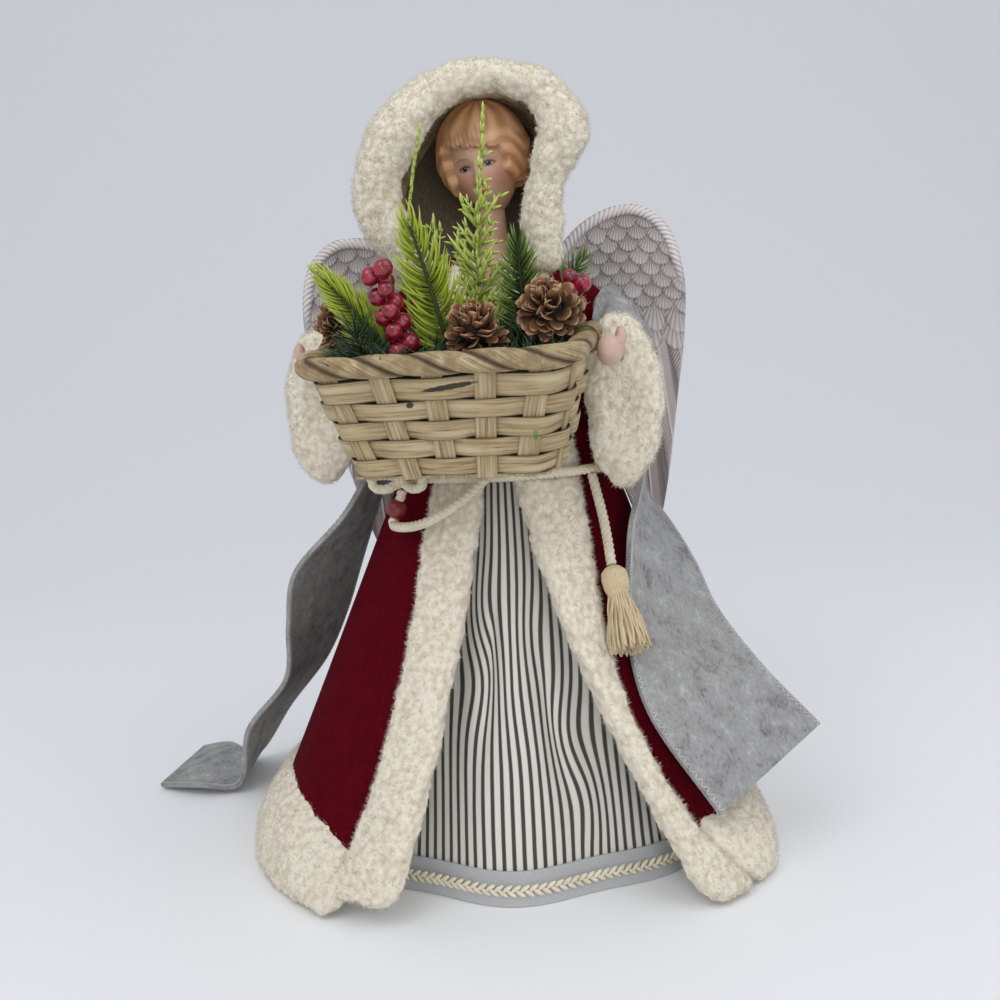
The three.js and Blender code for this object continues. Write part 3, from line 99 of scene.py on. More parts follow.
class Finish:
    def __init__(self, name, roughness=0.9, **constants):
        self.material = bpy.data.materials.new(name)
        self.material.use_nodes = True
        self.tree = self.material.node_tree
        self.shader = self.tree.nodes["Principled BSDF"]
        self.shader.inputs["Roughness"].default_value = roughness
        for name, value in constants.items():
            self.shader.inputs[name.replace("_", " ")].default_value = value

    def node(self, kind, settings=None, inputs=None, output=0):
        node = self.tree.nodes.new(kind)
        for key, value in (settings or {}).items():
            setattr(node, key, value)
        for key, value in (inputs or {}).items():
            if isinstance(value, Value):
                self.tree.links.new(value.socket, node.inputs[key])
            else:
                node.inputs[key].default_value = value
        return Value(self, node.outputs[output])

    def feed(self, socket, value):
        self.tree.links.new(value.socket, self.shader.inputs[socket])
        return self

    def place(self):
        return self.node("ShaderNodeTexCoord", output="Object")

    def cloth(self):
        return self.node("ShaderNodeUVMap", {"uv_map": "cloth"})

    def axes(self, vector):
        return [self.node("ShaderNodeSeparateXYZ", inputs={0: vector}, output=k) for k in range(3)]

    def held(self, name):
        return self.node("ShaderNodeAttribute", {"attribute_name": name}, output="Fac")

    def stretched(self, vector, scale):
        return self.node("ShaderNodeMapping", inputs={"Vector": vector, "Scale": scale})

    def noise(self, scale, detail=2.0, rough=0.5, vector=None):
        inputs = {"Vector": vector or self.place(), "Scale": scale, "Detail": detail, "Roughness": rough}
        return self.node("ShaderNodeTexNoise", inputs=inputs)

    def mask(self, value, low, high):
        settings = {"interpolation_type": "SMOOTHSTEP"}
        return self.node("ShaderNodeMapRange", settings, {"Value": value, "From Min": low, "From Max": high})

    def blend(self, share, first, second):
        settings = {"data_type": "RGBA"}
        return self.node("ShaderNodeMix", settings, {0: share, 6: first, 7: second}, 2)

    def bump(self, height, distance, strength=1.0):
        inputs = {"Strength": strength, "Distance": distance, "Height": height}
        return self.node("ShaderNodeBump", inputs=inputs)


def rgb(red, green, blue):
    def straight(c):
        c = c / 255
        return c / 12.92 if c < 0.04045 else ((c + 0.055) / 1.055) ** 2.4
    return (straight(red), straight(green), straight(blue), 1.0)


# finishes
def fleeceFinish(name, crease, curl, tint):
    f = Finish(name, 1.0, Specular_IOR_Level=0.05, Sheen_Weight=0.12)
    height = f.noise(800, 4, 0.65)
    # painted shade: the crease tone darkens the fleece where the nub value is low, in the creases between
    # curls
    tone = f.blend(f.mask(f.held("nub") + 0.4 * height, 0.1, 0.9), crease, curl)
    tone = f.blend(f.mask(f.noise(40, 2), 0.45, 0.75) * 0.35, tone, tint)
    f.feed("Base Color", tone)
    f.feed("Normal", f.bump(height + 0.7 * f.noise(2200, 3, 0.6), 0.0009, 0.5))
    return f.material


def feltFinish(name, dark, middle, light, mottle):
    f = Finish(name, 1.0, Specular_IOR_Level=0.05)
    hair = f.noise(620, 5, 0.7, f.stretched(f.place(), (1, 1, 0.45)))
    cloud = f.noise(95, 5, 0.62)
    share = mottle * (cloud - 0.5) + 0.6 * (hair - 0.5)
    tone = f.blend(f.mask(share, -0.2, 0.02), dark, middle)
    tone = f.blend(f.mask(share, 0.02, 0.26), tone, light)
    f.feed("Base Color", tone)
    f.feed("Normal", f.bump(hair + 0.5 * f.noise(2400, 3, 0.7), 0.0007, 0.6))
    return f.material


def tickingFinish():
    f = Finish("ticking", 0.95, Specular_IOR_Level=0.1)
    across, along, _ = f.axes(f.cloth())
    pitch, halfLine = 0.0047, 0.00094
    step = ((along / 0.0011 + across / 0.0022).fraction() - 0.5).size() * 0.00042
    line = ((across / pitch + f.noise(90, 1) * 0.05).fraction() - 0.5).size() * pitch - step
    ink = 1 - f.mask(line, halfLine - 0.0003, halfLine + 0.00012)
    twill = ((across + along * 0.72) * (fullTurn / 0.00105)).sine()
    yarn = f.noise(2600, 2)
    ground = f.blend(f.mask(twill + yarn - 0.5, -1.0, 1.0), rgb(208, 204, 194), rgb(242, 240, 232))
    ground = f.blend(f.mask(f.noise(30, 2), 0.4, 0.7) * 0.3, ground, rgb(222, 214, 198))
    dye = f.blend(yarn, rgb(5, 5, 9), rgb(16, 17, 23))
    f.feed("Base Color", f.blend(ink * (0.9 + 0.1 * twill), ground, dye))
    f.feed("Normal", f.bump(twill + 0.6 * yarn, 0.00025, 0.45))
    return f.material


def tapeFinish():
    f = Finish("hemTape", 0.95)
    across, along, _ = f.axes(f.cloth())
    zigzag = ((along / 0.005).fraction() - 0.5).size() * 0.005
    rib = ((across + zigzag * 1.6) * (fullTurn / 0.0012)).sine()
    fleck = f.noise(1500, 3, 0.7)
    tone = f.blend(f.mask(rib * 0.45 + fleck, 0.15, 0.85), rgb(138, 141, 146), rgb(218, 219, 219))
    f.feed("Base Color", tone)
    f.feed("Normal", f.bump(rib * 0.5 + fleck, 0.0004, 0.5))
    return f.material


def yarnFinish(name, shade, light, scale=1800):
    f = Finish(name, 0.85, Sheen_Weight=0.1)
    fibre = f.noise(scale, 4, 0.65)
    tone = f.blend(f.mask(fibre + 0.4 * f.noise(120, 2), 0.35, 0.95), shade, light)
    f.feed("Base Color", tone)
    f.feed("Normal", f.bump(fibre, 0.0004, 0.6))
    return f.material


def plainFinish(name, shade, light, roughness, scale, grain, **constants):
    f = Finish(name, roughness, **constants)
    speck = f.noise(scale, 4, 0.6)
    f.feed("Base Color", f.blend(f.mask(speck, 0.3, 0.7), shade, light))
    f.feed("Normal", f.bump(speck, grain, 0.4))
    return f.material


# each fleece's first tone is painted crease shade
fleece = fleeceFinish("creamFleece", rgb(226, 213, 189), rgb(241, 233, 216), rgb(234, 221, 198))
# a darker copy of the cream fleece: painted shade for the facing inside the hood
shadedFacingFleece = fleeceFinish("shadedFacingFleece", rgb(172, 150, 112), rgb(212, 194, 158), rgb(198, 176, 138))
crimsonFelt = feltFinish("crimsonFelt", rgb(62, 3, 13), rgb(86, 6, 20), rgb(110, 14, 32), 0.35)
greyFelt = feltFinish("greyFelt", rgb(122, 120, 120), rgb(160, 159, 158), rgb(196, 195, 194), 0.7)
ticking = tickingFinish()
hemTape = tapeFinish()
creamCord = yarnFinish("creamCord", rgb(186, 170, 138), rgb(236, 228, 206))
braidYarn = yarnFinish("braidYarn", rgb(200, 186, 156), rgb(244, 236, 216))
tasselYarn = yarnFinish("tasselYarn", rgb(176, 150, 108), rgb(226, 208, 172))
paleThread = yarnFinish("overlockThread", rgb(150, 150, 149), rgb(204, 204, 201))
redPaint = plainFinish("redPaint", rgb(98, 16, 20), rgb(130, 30, 34), 0.4, 400, 0.0003, Coat_Weight=0.2)
card = plainFinish("cardCone", rgb(158, 128, 90), rgb(190, 162, 122), 0.9, 500, 0.0006)
foamWhite = plainFinish("torsoFoam", rgb(214, 214, 206), rgb(238, 238, 232), 0.9, 600, 0.001)
foamGreen = plainFinish("floralFoam", rgb(38, 48, 30), rgb(66, 78, 48), 0.95, 700, 0.001)
steelWire = plainFinish("steelWire", rgb(112, 112, 114), rgb(158, 158, 160), 0.4, 900, 0.0001, Metallic=1.0)
lining = plainFinish("hoodLining", rgb(116, 107, 92), rgb(142, 132, 114), 0.85, 500, 0.0003)
tieWire = plainFinish("tieWire", rgb(120, 100, 66), rgb(158, 136, 96), 0.5, 900, 0.0001)
print("cloth finishes made")


# mesh helpers
def readPoints(piece):
    points = np.zeros(len(piece.data.vertices) * 3)
    piece.data.vertices.foreach_get("co", points)
    return points.reshape(-1, 3)


def writePoints(piece, points):
    piece.data.vertices.foreach_set("co", np.asarray(points, float).ravel())
    piece.data.update()


def holdValue(piece, name, values):
    layer = piece.data.attributes.get(name) or piece.data.attributes.new(name, "FLOAT", "POINT")
    layer.data.foreach_set("value", np.asarray(values, np.float32))


def holdAll(piece, name, value):
    holdValue(piece, name, np.full(len(piece.data.vertices), value))


def only(piece):
    bpy.ops.object.select_all(action="DESELECT")
    piece.select_set(True)
    bpy.context.view_layer.objects.active = piece


def primitive(kind, **settings):
    bpy.ops.object.select_all(action="DESELECT")
    getattr(bpy.ops.mesh, f"primitive_{kind}_add")(**settings)
    return bpy.context.object


def gridPiece(name, columns, rows, place, clothMap=None):
    piece = primitive("grid", x_subdivisions=columns, y_subdivisions=rows, size=1)
    piece.name = name
    piece.data.name = name
    flat = readPoints(piece)
    u = np.clip(flat[:, 0] + 0.5, 0, 1)
    v = np.clip(flat[:, 1] + 0.5, 0, 1)
    writePoints(piece, place(u, v) * mm)
    layer = piece.data.uv_layers[0]
    layer.name = "cloth"
    if clothMap:
        corner = np.zeros(len(piece.data.loops), np.int32)
        piece.data.loops.foreach_get("vertex_index", corner)
        across, along = clothMap(u, v)
        flatMap = np.stack([across[corner], along[corner]], 1) * mm
        layer.data.foreach_set("uv", flatMap.astype(np.float32).ravel())
    return piece


def weld(piece, turn=True):
    only(piece)
    bpy.ops.object.mode_set(mode="EDIT")
    bpy.ops.mesh.select_all(action="SELECT")
    bpy.ops.mesh.remove_doubles(threshold=2e-6)
    bpy.ops.mesh.dissolve_degenerate(threshold=1e-7)
    if turn:
        bpy.ops.mesh.select_all(action="SELECT")
        bpy.ops.mesh.normals_make_consistent(inside=False)
    bpy.ops.object.mode_set(mode="OBJECT")
    bpy.ops.object.shade_smooth()
    return piece


def applied(piece, kind, **settings):
    only(piece)
    modifier = piece.modifiers.new(kind.lower(), kind)
    for key, value in settings.items():
        setattr(modifier, key, value)
    bpy.ops.object.modifier_apply(modifier=modifier.name)
    return piece


def thicken(piece, thickness):
    applied(piece, "SOLIDIFY", thickness=thickness * mm, offset=0, use_even_offset=True)
    only(piece)
    bpy.ops.object.shade_smooth_by_angle(angle=math.radians(50))
    return piece


def seat(piece, body, slot, material, *nodes):
    piece.data.materials.clear()
    for one in material if isinstance(material, (list, tuple)) else [material]:
        piece.data.materials.append(one)
    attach(piece, body)
    if nodes:
        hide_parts(*nodes)
    return piece


def meshFrom(name, points, faces):
    data = bpy.data.meshes.new(name)
    data.from_pydata(points.tolist(), [], faces)
    piece = bpy.data.objects.new(name, data)
    bpy.context.scene.collection.objects.link(piece)
    only(piece)
    bpy.ops.object.shade_smooth()
    return piece


# copies of one modelled shape, joined in a mesh of their own
def copyAll(name, source, places, **values):
    points = readPoints(source)
    faces = [list(p.vertices) for p in source.data.polygons]
    count = len(points)
    everywhere = [points @ matrix[:3, :3].T + matrix[:3, 3] for matrix in places]
    allFaces = [[k * count + corner for corner in face] for k in range(len(places)) for face in faces]
    piece = meshFrom(name, np.concatenate(everywhere), allFaces)
    for key, held in values.items():
        holdValue(piece, key, np.tile(held, len(places)))
    return piece


def joined(name, parts):
    only(parts[0])
    for part in parts:
        part.select_set(True)
    bpy.ops.object.join()
    piece = bpy.context.object
    piece.name = name
    piece.data.name = name
    return piece


def placed(origin, ahead, side, scale=(1, 1, 1)):
    ahead = unit(np.asarray(ahead, float))
    across = np.cross(ahead, side)
    if np.linalg.norm(across) < 1e-6:
        across = np.cross(ahead, (0.3, 0.5, 0.8))
    across = unit(across)
    matrix = np.eye(4)
    matrix[:3, 0] = across * scale[0]
    matrix[:3, 1] = np.cross(ahead, across) * scale[1]
    matrix[:3, 2] = ahead * scale[2]
    matrix[:3, 3] = origin
    return matrix


def drop(piece):
    bpy.data.objects.remove(piece, do_unlink=True)


def unit(vectors):
    return vectors / np.linalg.norm(vectors, axis=-1, keepdims=True)


def signedPower(value, power):
    return np.sign(value) * np.abs(value) ** power


# smooth curves through points, in millimetres
def splinePoints(points, perSpan=16, closed=False):
    p = np.array(points, float)
    if closed:
        p = np.vstack([p[-1], p, p[0], p[1]])
    else:
        p = np.vstack([2 * p[0] - p[1], p, 2 * p[-1] - p[-2]])
    t = np.linspace(0, 1, perSpan, endpoint=False)[:, None]
    out = []
    for a, b, c, d in zip(p[:-3], p[1:-2], p[2:-1], p[3:]):
        d0, d1, d2 = [max(np.linalg.norm(e) ** 0.5, 1e-6) for e in (b - a, c - b, d - c)]
        first = ((b - a) / d0 - (c - a) / (d0 + d1) + (c - b) / d1) * d1
        second = ((c - b) / d1 - (d - b) / (d1 + d2) + (d - c) / d2) * d1
        square = 3 * (c - b) - 2 * first - second
        cube = 2 * (b - c) + first + second
        out.append(b + t * first + t * t * square + t ** 3 * cube)
    out.append(p[-2:-1])
    return np.vstack(out)


def atShare(line, share):
    steps = np.linspace(0, 1, len(line))
    return np.stack([np.interp(share, steps, line[:, k]) for k in range(3)], -1)


class Route:
    def __init__(self, points, closed=False, perSpan=16):
        self.line = splinePoints(points, perSpan, closed)
        steps = np.linalg.norm(np.diff(self.line, axis=0), axis=1)
        self.run = np.concatenate([[0], np.cumsum(steps)])
        self.length = self.run[-1]
        ahead = unit(np.gradient(self.line, axis=0))
        side = np.cross(ahead[0], (0.31, 0.52, 0.79))
        sides = []
        for direction in ahead:
            side = unit(side - direction * side.dot(direction))
            sides.append(side)
        self.ahead = ahead
        self.sides = np.array(sides)
        self.spare = 0.0
        if closed:
            last = self.sides[-1]
            self.spare = math.atan2(np.cross(last, self.sides[0]).dot(ahead[0]), last.dot(self.sides[0]))

    def at(self, share, values=None):
        values = self.line if values is None else values
        along = np.asarray(share) * self.length
        return np.stack([np.interp(along, self.run, values[:, k]) for k in range(3)], -1)

    def frames(self, share):
        ahead = unit(self.at(share, self.ahead))
        side = self.at(share, self.sides)
        side = unit(side - ahead * (side * ahead).sum(-1)[..., None])
        other = np.cross(ahead, side)
        turn = self.spare * np.asarray(share)[..., None]
        return ahead, side * np.cos(turn) + other * np.sin(turn), other * np.cos(turn) - side * np.sin(turn)

    def ring(self, share, turn, reach):
        _, side, other = self.frames(share)
        across, up = reach * np.cos(turn), reach * np.sin(turn)
        return self.at(share) + side * across[:, None] + other * up[:, None]


def tubePiece(name, route, radius, sides=8, rows=24, closed=False):
    def place(u, v):
        share = v if closed else np.clip((v * rows - 1) / (rows - 2), 0, 1)
        tight = np.ones_like(v) if closed else np.clip(np.minimum(v, 1 - v) * rows, 0, 1)
        turn = u * fullTurn
        return route.ring(share, turn, radius(share, turn) * tight)

    return weld(gridPiece(name, sides, rows, place))


def rope(name, route, radius, pitch, strands=3, closed=False, step=0.8, sides=18):
    rows = max(12, int(route.length / step))
    turns = route.length / pitch
    if closed:
        turns = round(turns * strands) / strands

    def strandRadius(share, turn):
        wave = np.abs(np.sin(0.5 * strands * (turn - share * turns * fullTurn)))
        return radius * (0.66 + 0.34 * wave ** 0.7)

    return tubePiece(name, route, strandRadius, sides, rows, closed)


# forms of the object, as the solids have them
sizes = {
    "waist": 196, "skirtHem": 111, "skirtWaist": 40, "skirtFold": 3, "skirtFolds": 8, "skirtTop": 201,
    "coatHem": 149, "coatWide": 57, "coatDeep": 46, "coatCloth": 2.4, "coatFold": 7, "coatFolds": 6,
    "tuck": 22, "tuckTurns": (48, 74, 110, 165),
    "collar": 308, "collarWide": 27, "collarDeep": 23, "shoulder": 284, "hemTrim": 34, "out": 9, "in": 5,
    "cord": 2.6, "gap": 0.35, "clothGap": 0.5,
}
borders = {
    "leftEdge": (-43, -36, -47), "leftFront": (-26, -20, -14),
    "rightFront": (33, 20, 3), "rightEdge": (47, 28.5, 46),
}


def around(angle, radius, z):
    return np.stack([np.sin(angle) * radius, -np.cos(angle) * radius, z + 0 * angle], -1)


def oval(wide, deep, angle):
    return 1 / np.hypot(np.sin(angle) / wide, np.cos(angle) / deep)


def skirtRadius(angle, z):
    s = np.clip(z / sizes["waist"], 0, 1)
    fold = sizes["skirtFold"] * np.sqrt(1 - s) * np.cos(sizes["skirtFolds"] * angle + 0.6)
    hem, waist = sizes["skirtHem"], sizes["skirtWaist"]
    return hem + (waist - hem) * s - sizes["skirtFold"] * (1 - s) + fold


def ramp(value, low, high):
    t = np.clip((value - low) / (high - low), 0, 1)
    return t * t * (3 - 2 * t)


def swellAt(across, up, middle, level, wide, high):
    return np.exp(-((across - middle) / wide) ** 2 - ((up - level) / high) ** 2)


def coatRadius(angle, z):
    w, d = sizes["coatWide"], sizes["coatDeep"]
    waist, shoulder = sizes["waist"], sizes["shoulder"]
    levels = [waist, waist + 36, shoulder - 12, shoulder + 12, sizes["collar"]]
    wide = np.interp(z, levels, [w, 0.93 * w, 0.88 * w, 0.75 * w, sizes["collarWide"]])
    deep = np.interp(z, levels, [d, 0.92 * d, 0.87 * d, 0.7 * d, sizes["collarDeep"]])
    s = np.clip(z / sizes["waist"], 0, 1)
    wide = np.where(s < 1, sizes["coatHem"] + (w - sizes["coatHem"]) * s, wide)
    deep = np.where(s < 1, sizes["coatHem"] + (d - sizes["coatHem"]) * s, deep)
    fold = sizes["coatFold"] * (1 - s) * (0.5 - 0.5 * np.cos(angle)) * np.cos(sizes["coatFolds"] * angle)
    degrees = np.degrees(angle)
    start, full, wane, end = sizes["tuckTurns"]
    tuck = sizes["tuck"] * ramp(degrees, start, full) * (1 - ramp(degrees, wane, end))
    return oval(wide, deep, angle) + fold - tuck * (1 - s)


def borderAngle(name, z):
    start, middle, end = borders[name]
    s = np.clip(z / sizes["waist"], 0, 1)
    return np.radians(start * (1 - s) * (1 - 2 * s) + middle * 4 * s * (1 - s) + end * s * (2 * s - 1))


def hang(degrees, z, lift):
    angle = np.radians(degrees)
    return around(angle, coatRadius(angle, np.minimum(z, sizes["waist"])) + sizes["out"] + lift, z)


# cords first: waist tie, bow, swag with its bead, tassel cord
cords = {"pitch": 9.0, "bead": 5.5, "tasselHead": 6.5, "tasselSkirt": 9.5}
tasselStrands = {"count": 130, "start": 14, "end": 44.5, "neck": 3.9, "radius": 0.62, "sides": 5, "rows": 20}
cordRadius = sizes["cord"]
beyondCord = 3 * cordRadius + sizes["clothGap"] + sizes["gap"]
ringAngle = np.linspace(0, fullTurn, 24, endpoint=False)
front = np.minimum(1, 3 * np.maximum(0, 2 * np.cos(ringAngle * 0.5) ** 2 - 0.55))
lift = 1.2 + (sizes["out"] - 1.2) * front + cordRadius + sizes["clothGap"]
waistZ = sizes["waist"] + 2.0
waistRadius = coatRadius(ringAngle, ringAngle * 0 + waistZ) + lift
waistRoute = Route(around(ringAngle, waistRadius, waistZ), closed=True)
waistCord = rope("waistCord", waistRoute, cordRadius, cords["pitch"], closed=True)
seat(waistCord, "figure", "cord", creamCord, "waist_cord")

knot = hang(-50.0, waistZ, beyondCord + 1)
bowLoops = [
    [(-8, -1, 6), (-15, 1, 5), (-14, -1, -3), (-7, -3, -4)],
    [(6, -6, 7), (11, -11, 5), (11, -11, -2), (5, -6, -4)],
]
bowParts = []
for number, loop in enumerate(bowLoops):
    bowRoute = Route([knot, *[knot + np.array(p) for p in loop], knot])
    bowParts.append(rope(f"bowLoop{number}", bowRoute, cordRadius, cords["pitch"]))
wrap = {"turns": 2.5, "points": 24, "long": 5.44, "deep": 2.7, "high": 2.9, "back": 0.4, "cord": 1.9,
        "pitch": 7.0}
wrapPoints = []
for k, a in enumerate(np.linspace(0, wrap["turns"] * fullTurn, wrap["points"])):
    across = wrap["long"] * (k / wrap["points"] - 0.5)
    wrapPoints.append(knot + (across, wrap["deep"] * math.cos(a) - wrap["back"], wrap["high"] * math.sin(a)))
bowParts.append(rope("bowKnot", Route(wrapPoints), wrap["cord"], wrap["pitch"]))
seat(joined("cordBow", bowParts), "figure", "cord", creamCord, "cord_bow")

beadCentre = hang(-52.0, sizes["waist"] - 13, cordRadius + 2.5)
swagEnd = knot - (0, 0, 1.7 * cordRadius + sizes["gap"] + 0.6)
beadAxis = unit(swagEnd - beadCentre)
swagRoute = Route([
    hang(-10.0, waistZ, beyondCord),
    hang(-20.0, sizes["waist"] - 8, beyondCord),
    hang(-32.0, sizes["waist"] - 17, beyondCord - 1),
    hang(-43.0, sizes["waist"] - 21, cordRadius + 2.5),
    beadCentre - 1.5 * cords["bead"] * beadAxis,
    beadCentre - 0.8 * cords["bead"] * beadAxis,
    beadCentre,
    beadCentre + cords["bead"] * beadAxis,
    swagEnd,
])
swag = rope("cordSwag", swagRoute, cordRadius, cords["pitch"])
seat(swag, "figure", "cord", creamCord, "cord_swag")


def beadPlace(u, v):
    turn, level = u * fullTurn, (v - 0.5) * 2.1
    reach = cords["bead"] * np.maximum(np.cos(level), 0.3)
    side = unit(np.cross(beadAxis, (0, 1, 0)))
    other = np.cross(beadAxis, side)
    ring = np.outer(reach * np.cos(turn), side) + np.outer(reach * np.sin(turn), other)
    return beadCentre + ring + np.outer(cords["bead"] * np.sin(level), beadAxis)


bead = gridPiece("cordBead", 28, 16, beadPlace)
weld(bead)
applied(bead, "SOLIDIFY", thickness=1.2 * mm, offset=-1)
seat(bead, "figure", "bead", redPaint, "cord_bead")
swagRoute.line[0] * mm
(swagRoute.line * mm).tolist()

tasselTop = hang(43.0, waistZ - 0.95 * cordRadius - sizes["gap"], cordRadius + sizes["clothGap"])
tasselNeck = hang(34.5, 153.0, cords["tasselHead"] - 1)
tasselRoute = Route([tasselTop, hang(39.0, 172.0, cordRadius + 1), tasselNeck])
tasselCord = rope("tasselCord", tasselRoute, cordRadius, cords["pitch"])
seat(tasselCord, "tassel_end", "cord", creamCord, "tassel_cord")
tasselAxis = unit(hang(29.5, 108.0, cords["tasselSkirt"] - 0.6) - tasselNeck)
tasselSide = unit(np.cross(tasselAxis, (0, 1, 0)))
tasselOther = np.cross(tasselAxis, tasselSide)


def tasselPoint(turn, reach, along):
    ring = np.outer(reach * np.cos(turn), tasselSide) + np.outer(reach * np.sin(turn), tasselOther)
    return tasselNeck + ring + np.outer(along, tasselAxis)


def tasselHeadPlace(u, v):
    along = v * 16
    reach = np.interp(along, [0, 1, 3.5, 7, 11.5, 14, 16], [0.5, 3.6, 6, 6.5, 6.1, 4.9, 4.2])
    strand = 1 + 0.035 * np.sin(u * fullTurn * 26)
    wound = np.where(along > 12.2, 0.45 * np.abs(np.sin(along * math.pi / 1.25)), 0)
    return tasselPoint(u * fullTurn, reach * strand + wound, along + 0.35)


tasselHead = weld(gridPiece("tasselHead", 104, 56, tasselHeadPlace))
strandPoints, strandFaces = [], []
sides, rows = tasselStrands["sides"], tasselStrands["rows"]
steps = np.linspace(0, 1, rows)
thick = tasselStrands["radius"] * np.where(steps > 0.97, 0.7, 1)[:, None, None]
ring = np.linspace(0, fullTurn, sides, endpoint=False)[:, None]
for number in range(tasselStrands["count"]):
    turn = number * goldenTurn
    inner = math.sqrt((number + 0.5) / tasselStrands["count"])
    swing = chance.normal(0, 0.12)
    reachEnd = cords["tasselSkirt"] * (0.25 + 0.78 * inner) + chance.normal(0, 0.4)
    long = tasselStrands["end"] - abs(chance.normal(0, 1.6))
    share = np.linspace(0, 1, 9)
    along = tasselStrands["start"] + (long - tasselStrands["start"]) * share
    reachStart = tasselStrands["neck"] * inner
    splay = (reachEnd - reachStart) * (1 - (1 - share) ** 1.7)
    reach = reachStart + splay + 0.45 * np.sin(share * 9 + number)
    line = tasselPoint(turn + swing * share + 0.08 * np.sin(5 * share + number), reach, along)
    strandRoute = Route(line, perSpan=3)
    _, side, other = strandRoute.frames(steps)
    offset = side[:, None] * (np.cos(ring) * thick) + other[:, None] * (np.sin(ring) * thick)
    base = number * rows * sides
    strandPoints.append((strandRoute.at(steps)[:, None] + offset).reshape(-1, 3))
    for row in range(rows - 1):
        for k in range(sides):
            a, b = base + row * sides + k, base + row * sides + (k + 1) % sides
            strandFaces.append([a, b, b + sides, a + sides])
    strandFaces.append([base + k for k in reversed(range(sides))])
    strandFaces.append([base + (rows - 1) * sides + k for k in range(sides)])
tassel = meshFrom("tassel", np.vstack(strandPoints) * mm, strandFaces)
tasselHead.select_set(True)
bpy.ops.object.join()
weld(tassel)
seat(tassel, "tassel_end", "tassel_yarn", tasselYarn, "tassel")
tasselRoute.line[0] * mm
(tasselRoute.line * mm).tolist()
print("cords laid, swag", round(swagRoute.length), "mm, tassel cord", round(tasselRoute.length), "mm")


# dress
dress = {"cloth": 1.6, "stripeHem": 106, "stripeWaist": 56, "band": 15, "bandCloth": 1.6,
         "sways": [(0.3, 0.36, 5), (0.34, 0.2, -4), (-0.3, 0.5, -5),
                   (-0.26, 0.68, 4), (-0.05, 0.45, 2), (0.12, 0.6, 3)]}
pulls = [
    {"deep": 3.2, "turn": -0.33, "lean": 0.25, "wide": 0.05, "level": 0.5, "high": 0.22},
    {"deep": 3.4, "turn": 0.27, "lean": -0.2, "wide": 0.055, "level": 0.38, "high": 0.2},
]


def gathers(angle, z):
    s = np.clip(z / sizes["waist"], 0, 1)
    push = 0.7 * np.sin(23 * angle + 5 * s) * (1 - s) * s * 3
    for pull in pulls:
        across = angle - pull["lean"] * s
        crease = swellAt(across, s, pull["turn"], pull["level"], pull["wide"], pull["high"])
        push = push - pull["deep"] * crease
    return push


def skirtPlace(u, v):
    angle = (u - 0.5) * fullTurn
    z = v * sizes["skirtTop"]
    s = np.clip(z / sizes["waist"], 0, 1)
    push = gathers(angle, z)
    slide = 0.012 * np.sin(7 * s + 9 * angle) * np.exp(-((s - 0.5) / 0.3) ** 2)
    return around(angle + slide, skirtRadius(angle, z) - 0.8 + push, z)


def skirtMap(u, v):
    angle = (u - 0.5) * fullTurn
    s = np.clip(v * sizes["skirtTop"] / sizes["waist"], 0, 1)
    sway = 0
    for turn, level, shift in dress["sways"]:
        sway = sway + shift * swellAt(angle, s, turn, level, 0.13, 0.11)
    return angle * (dress["stripeHem"] + (dress["stripeWaist"] - dress["stripeHem"]) * s) + sway, v * 210


skirt = thicken(weld(gridPiece("tickingSkirt", 260, 90, skirtPlace, skirtMap)), dress["cloth"])
seat(skirt, "figure", "ticking", ticking, "ticking_skirt")


def bandPlace(u, v):
    angle = (u - 0.5) * fullTurn
    z = v * dress["band"]
    return around(angle, skirtRadius(angle, z) + sizes["clothGap"] + 0.8, z)


band = weld(gridPiece("hemBand", 260, 6, bandPlace, lambda u, v: (u * 700, v * 15)))
thicken(band, dress["bandCloth"])
seat(band, "figure", "hem_felt", hemTape, "skirt_hem_band")

# plait on the band: two rows of slanting stitches
stitch = primitive("uv_sphere", segments=8, ring_count=6, radius=1)
places = []
braid = {"count": 168, "off": 3.6, "apart": 1.25, "half": (1.15, 1.0, 2.9)}
braidZ = dress["band"] / 2
for k in range(braid["count"]):
    for row in (-1, 1):
        angle = (k + 0.25 * row) / braid["count"] * fullTurn
        ahead = np.array([math.cos(angle), math.sin(angle), 0.0])
        out = np.array([math.sin(angle), -math.cos(angle), 0.0])
        radius = float(skirtRadius(np.array(angle), np.array(braidZ))) + braid["off"]
        slant = ahead * 0.82 + np.array([0, 0, row * 0.57])
        origin = (out * radius + np.array([0, 0, braidZ + row * braid["apart"]])) * mm
        places.append(placed(origin, slant, out, np.array(braid["half"]) * mm))
seat(copyAll("hemBraid", stitch, places), "figure", "braid", braidYarn, "hem_braid")
drop(stitch)
print("dress made")


# coat, sleeves, hood
def coatPlace(u, v):
    levels = sizes["hemTrim"] - 12 + v * (sizes["collar"] - sizes["hemTrim"] + 12)
    start = borderAngle("rightEdge", levels) - 0.02
    end = borderAngle("leftEdge", levels) + fullTurn + 0.02
    angle = start + (end - start) * u
    s = np.clip(levels / sizes["waist"], 0, 1)
    ripple = 1.2 * np.sin(11 * angle + 4 * s) * (1 - s)
    return around(angle, coatRadius(angle, levels) + ripple * 0.5, levels)


coat = thicken(gridPiece("coat", 150, 90, coatPlace), sizes["coatCloth"])
seat(coat, "figure", "coat_felt", crimsonFelt, "coat")

arms = {
    "right": {"sign": 1, "elbow": (76, 2, 262), "cuff": (59, -54, 233), "wrist": (56, -84, 257),
              "hand": (48.8, -101.8, 258), "drop": 1.0, "flat": (0.17, 0.10)},
    "left": {"sign": -1, "elbow": (-92, 12, 262), "cuff": (-95, -16, 236), "wrist": (-94, -52, 259),
             "hand": (-90.6, -68.4, 259), "drop": 0.93, "flat": (0.17, 0.10)},
}
cuffs = {"deep": 12, "wide": 18, "high": 42, "start": 55.5, "armhole": 14, "cloth": 2.2}


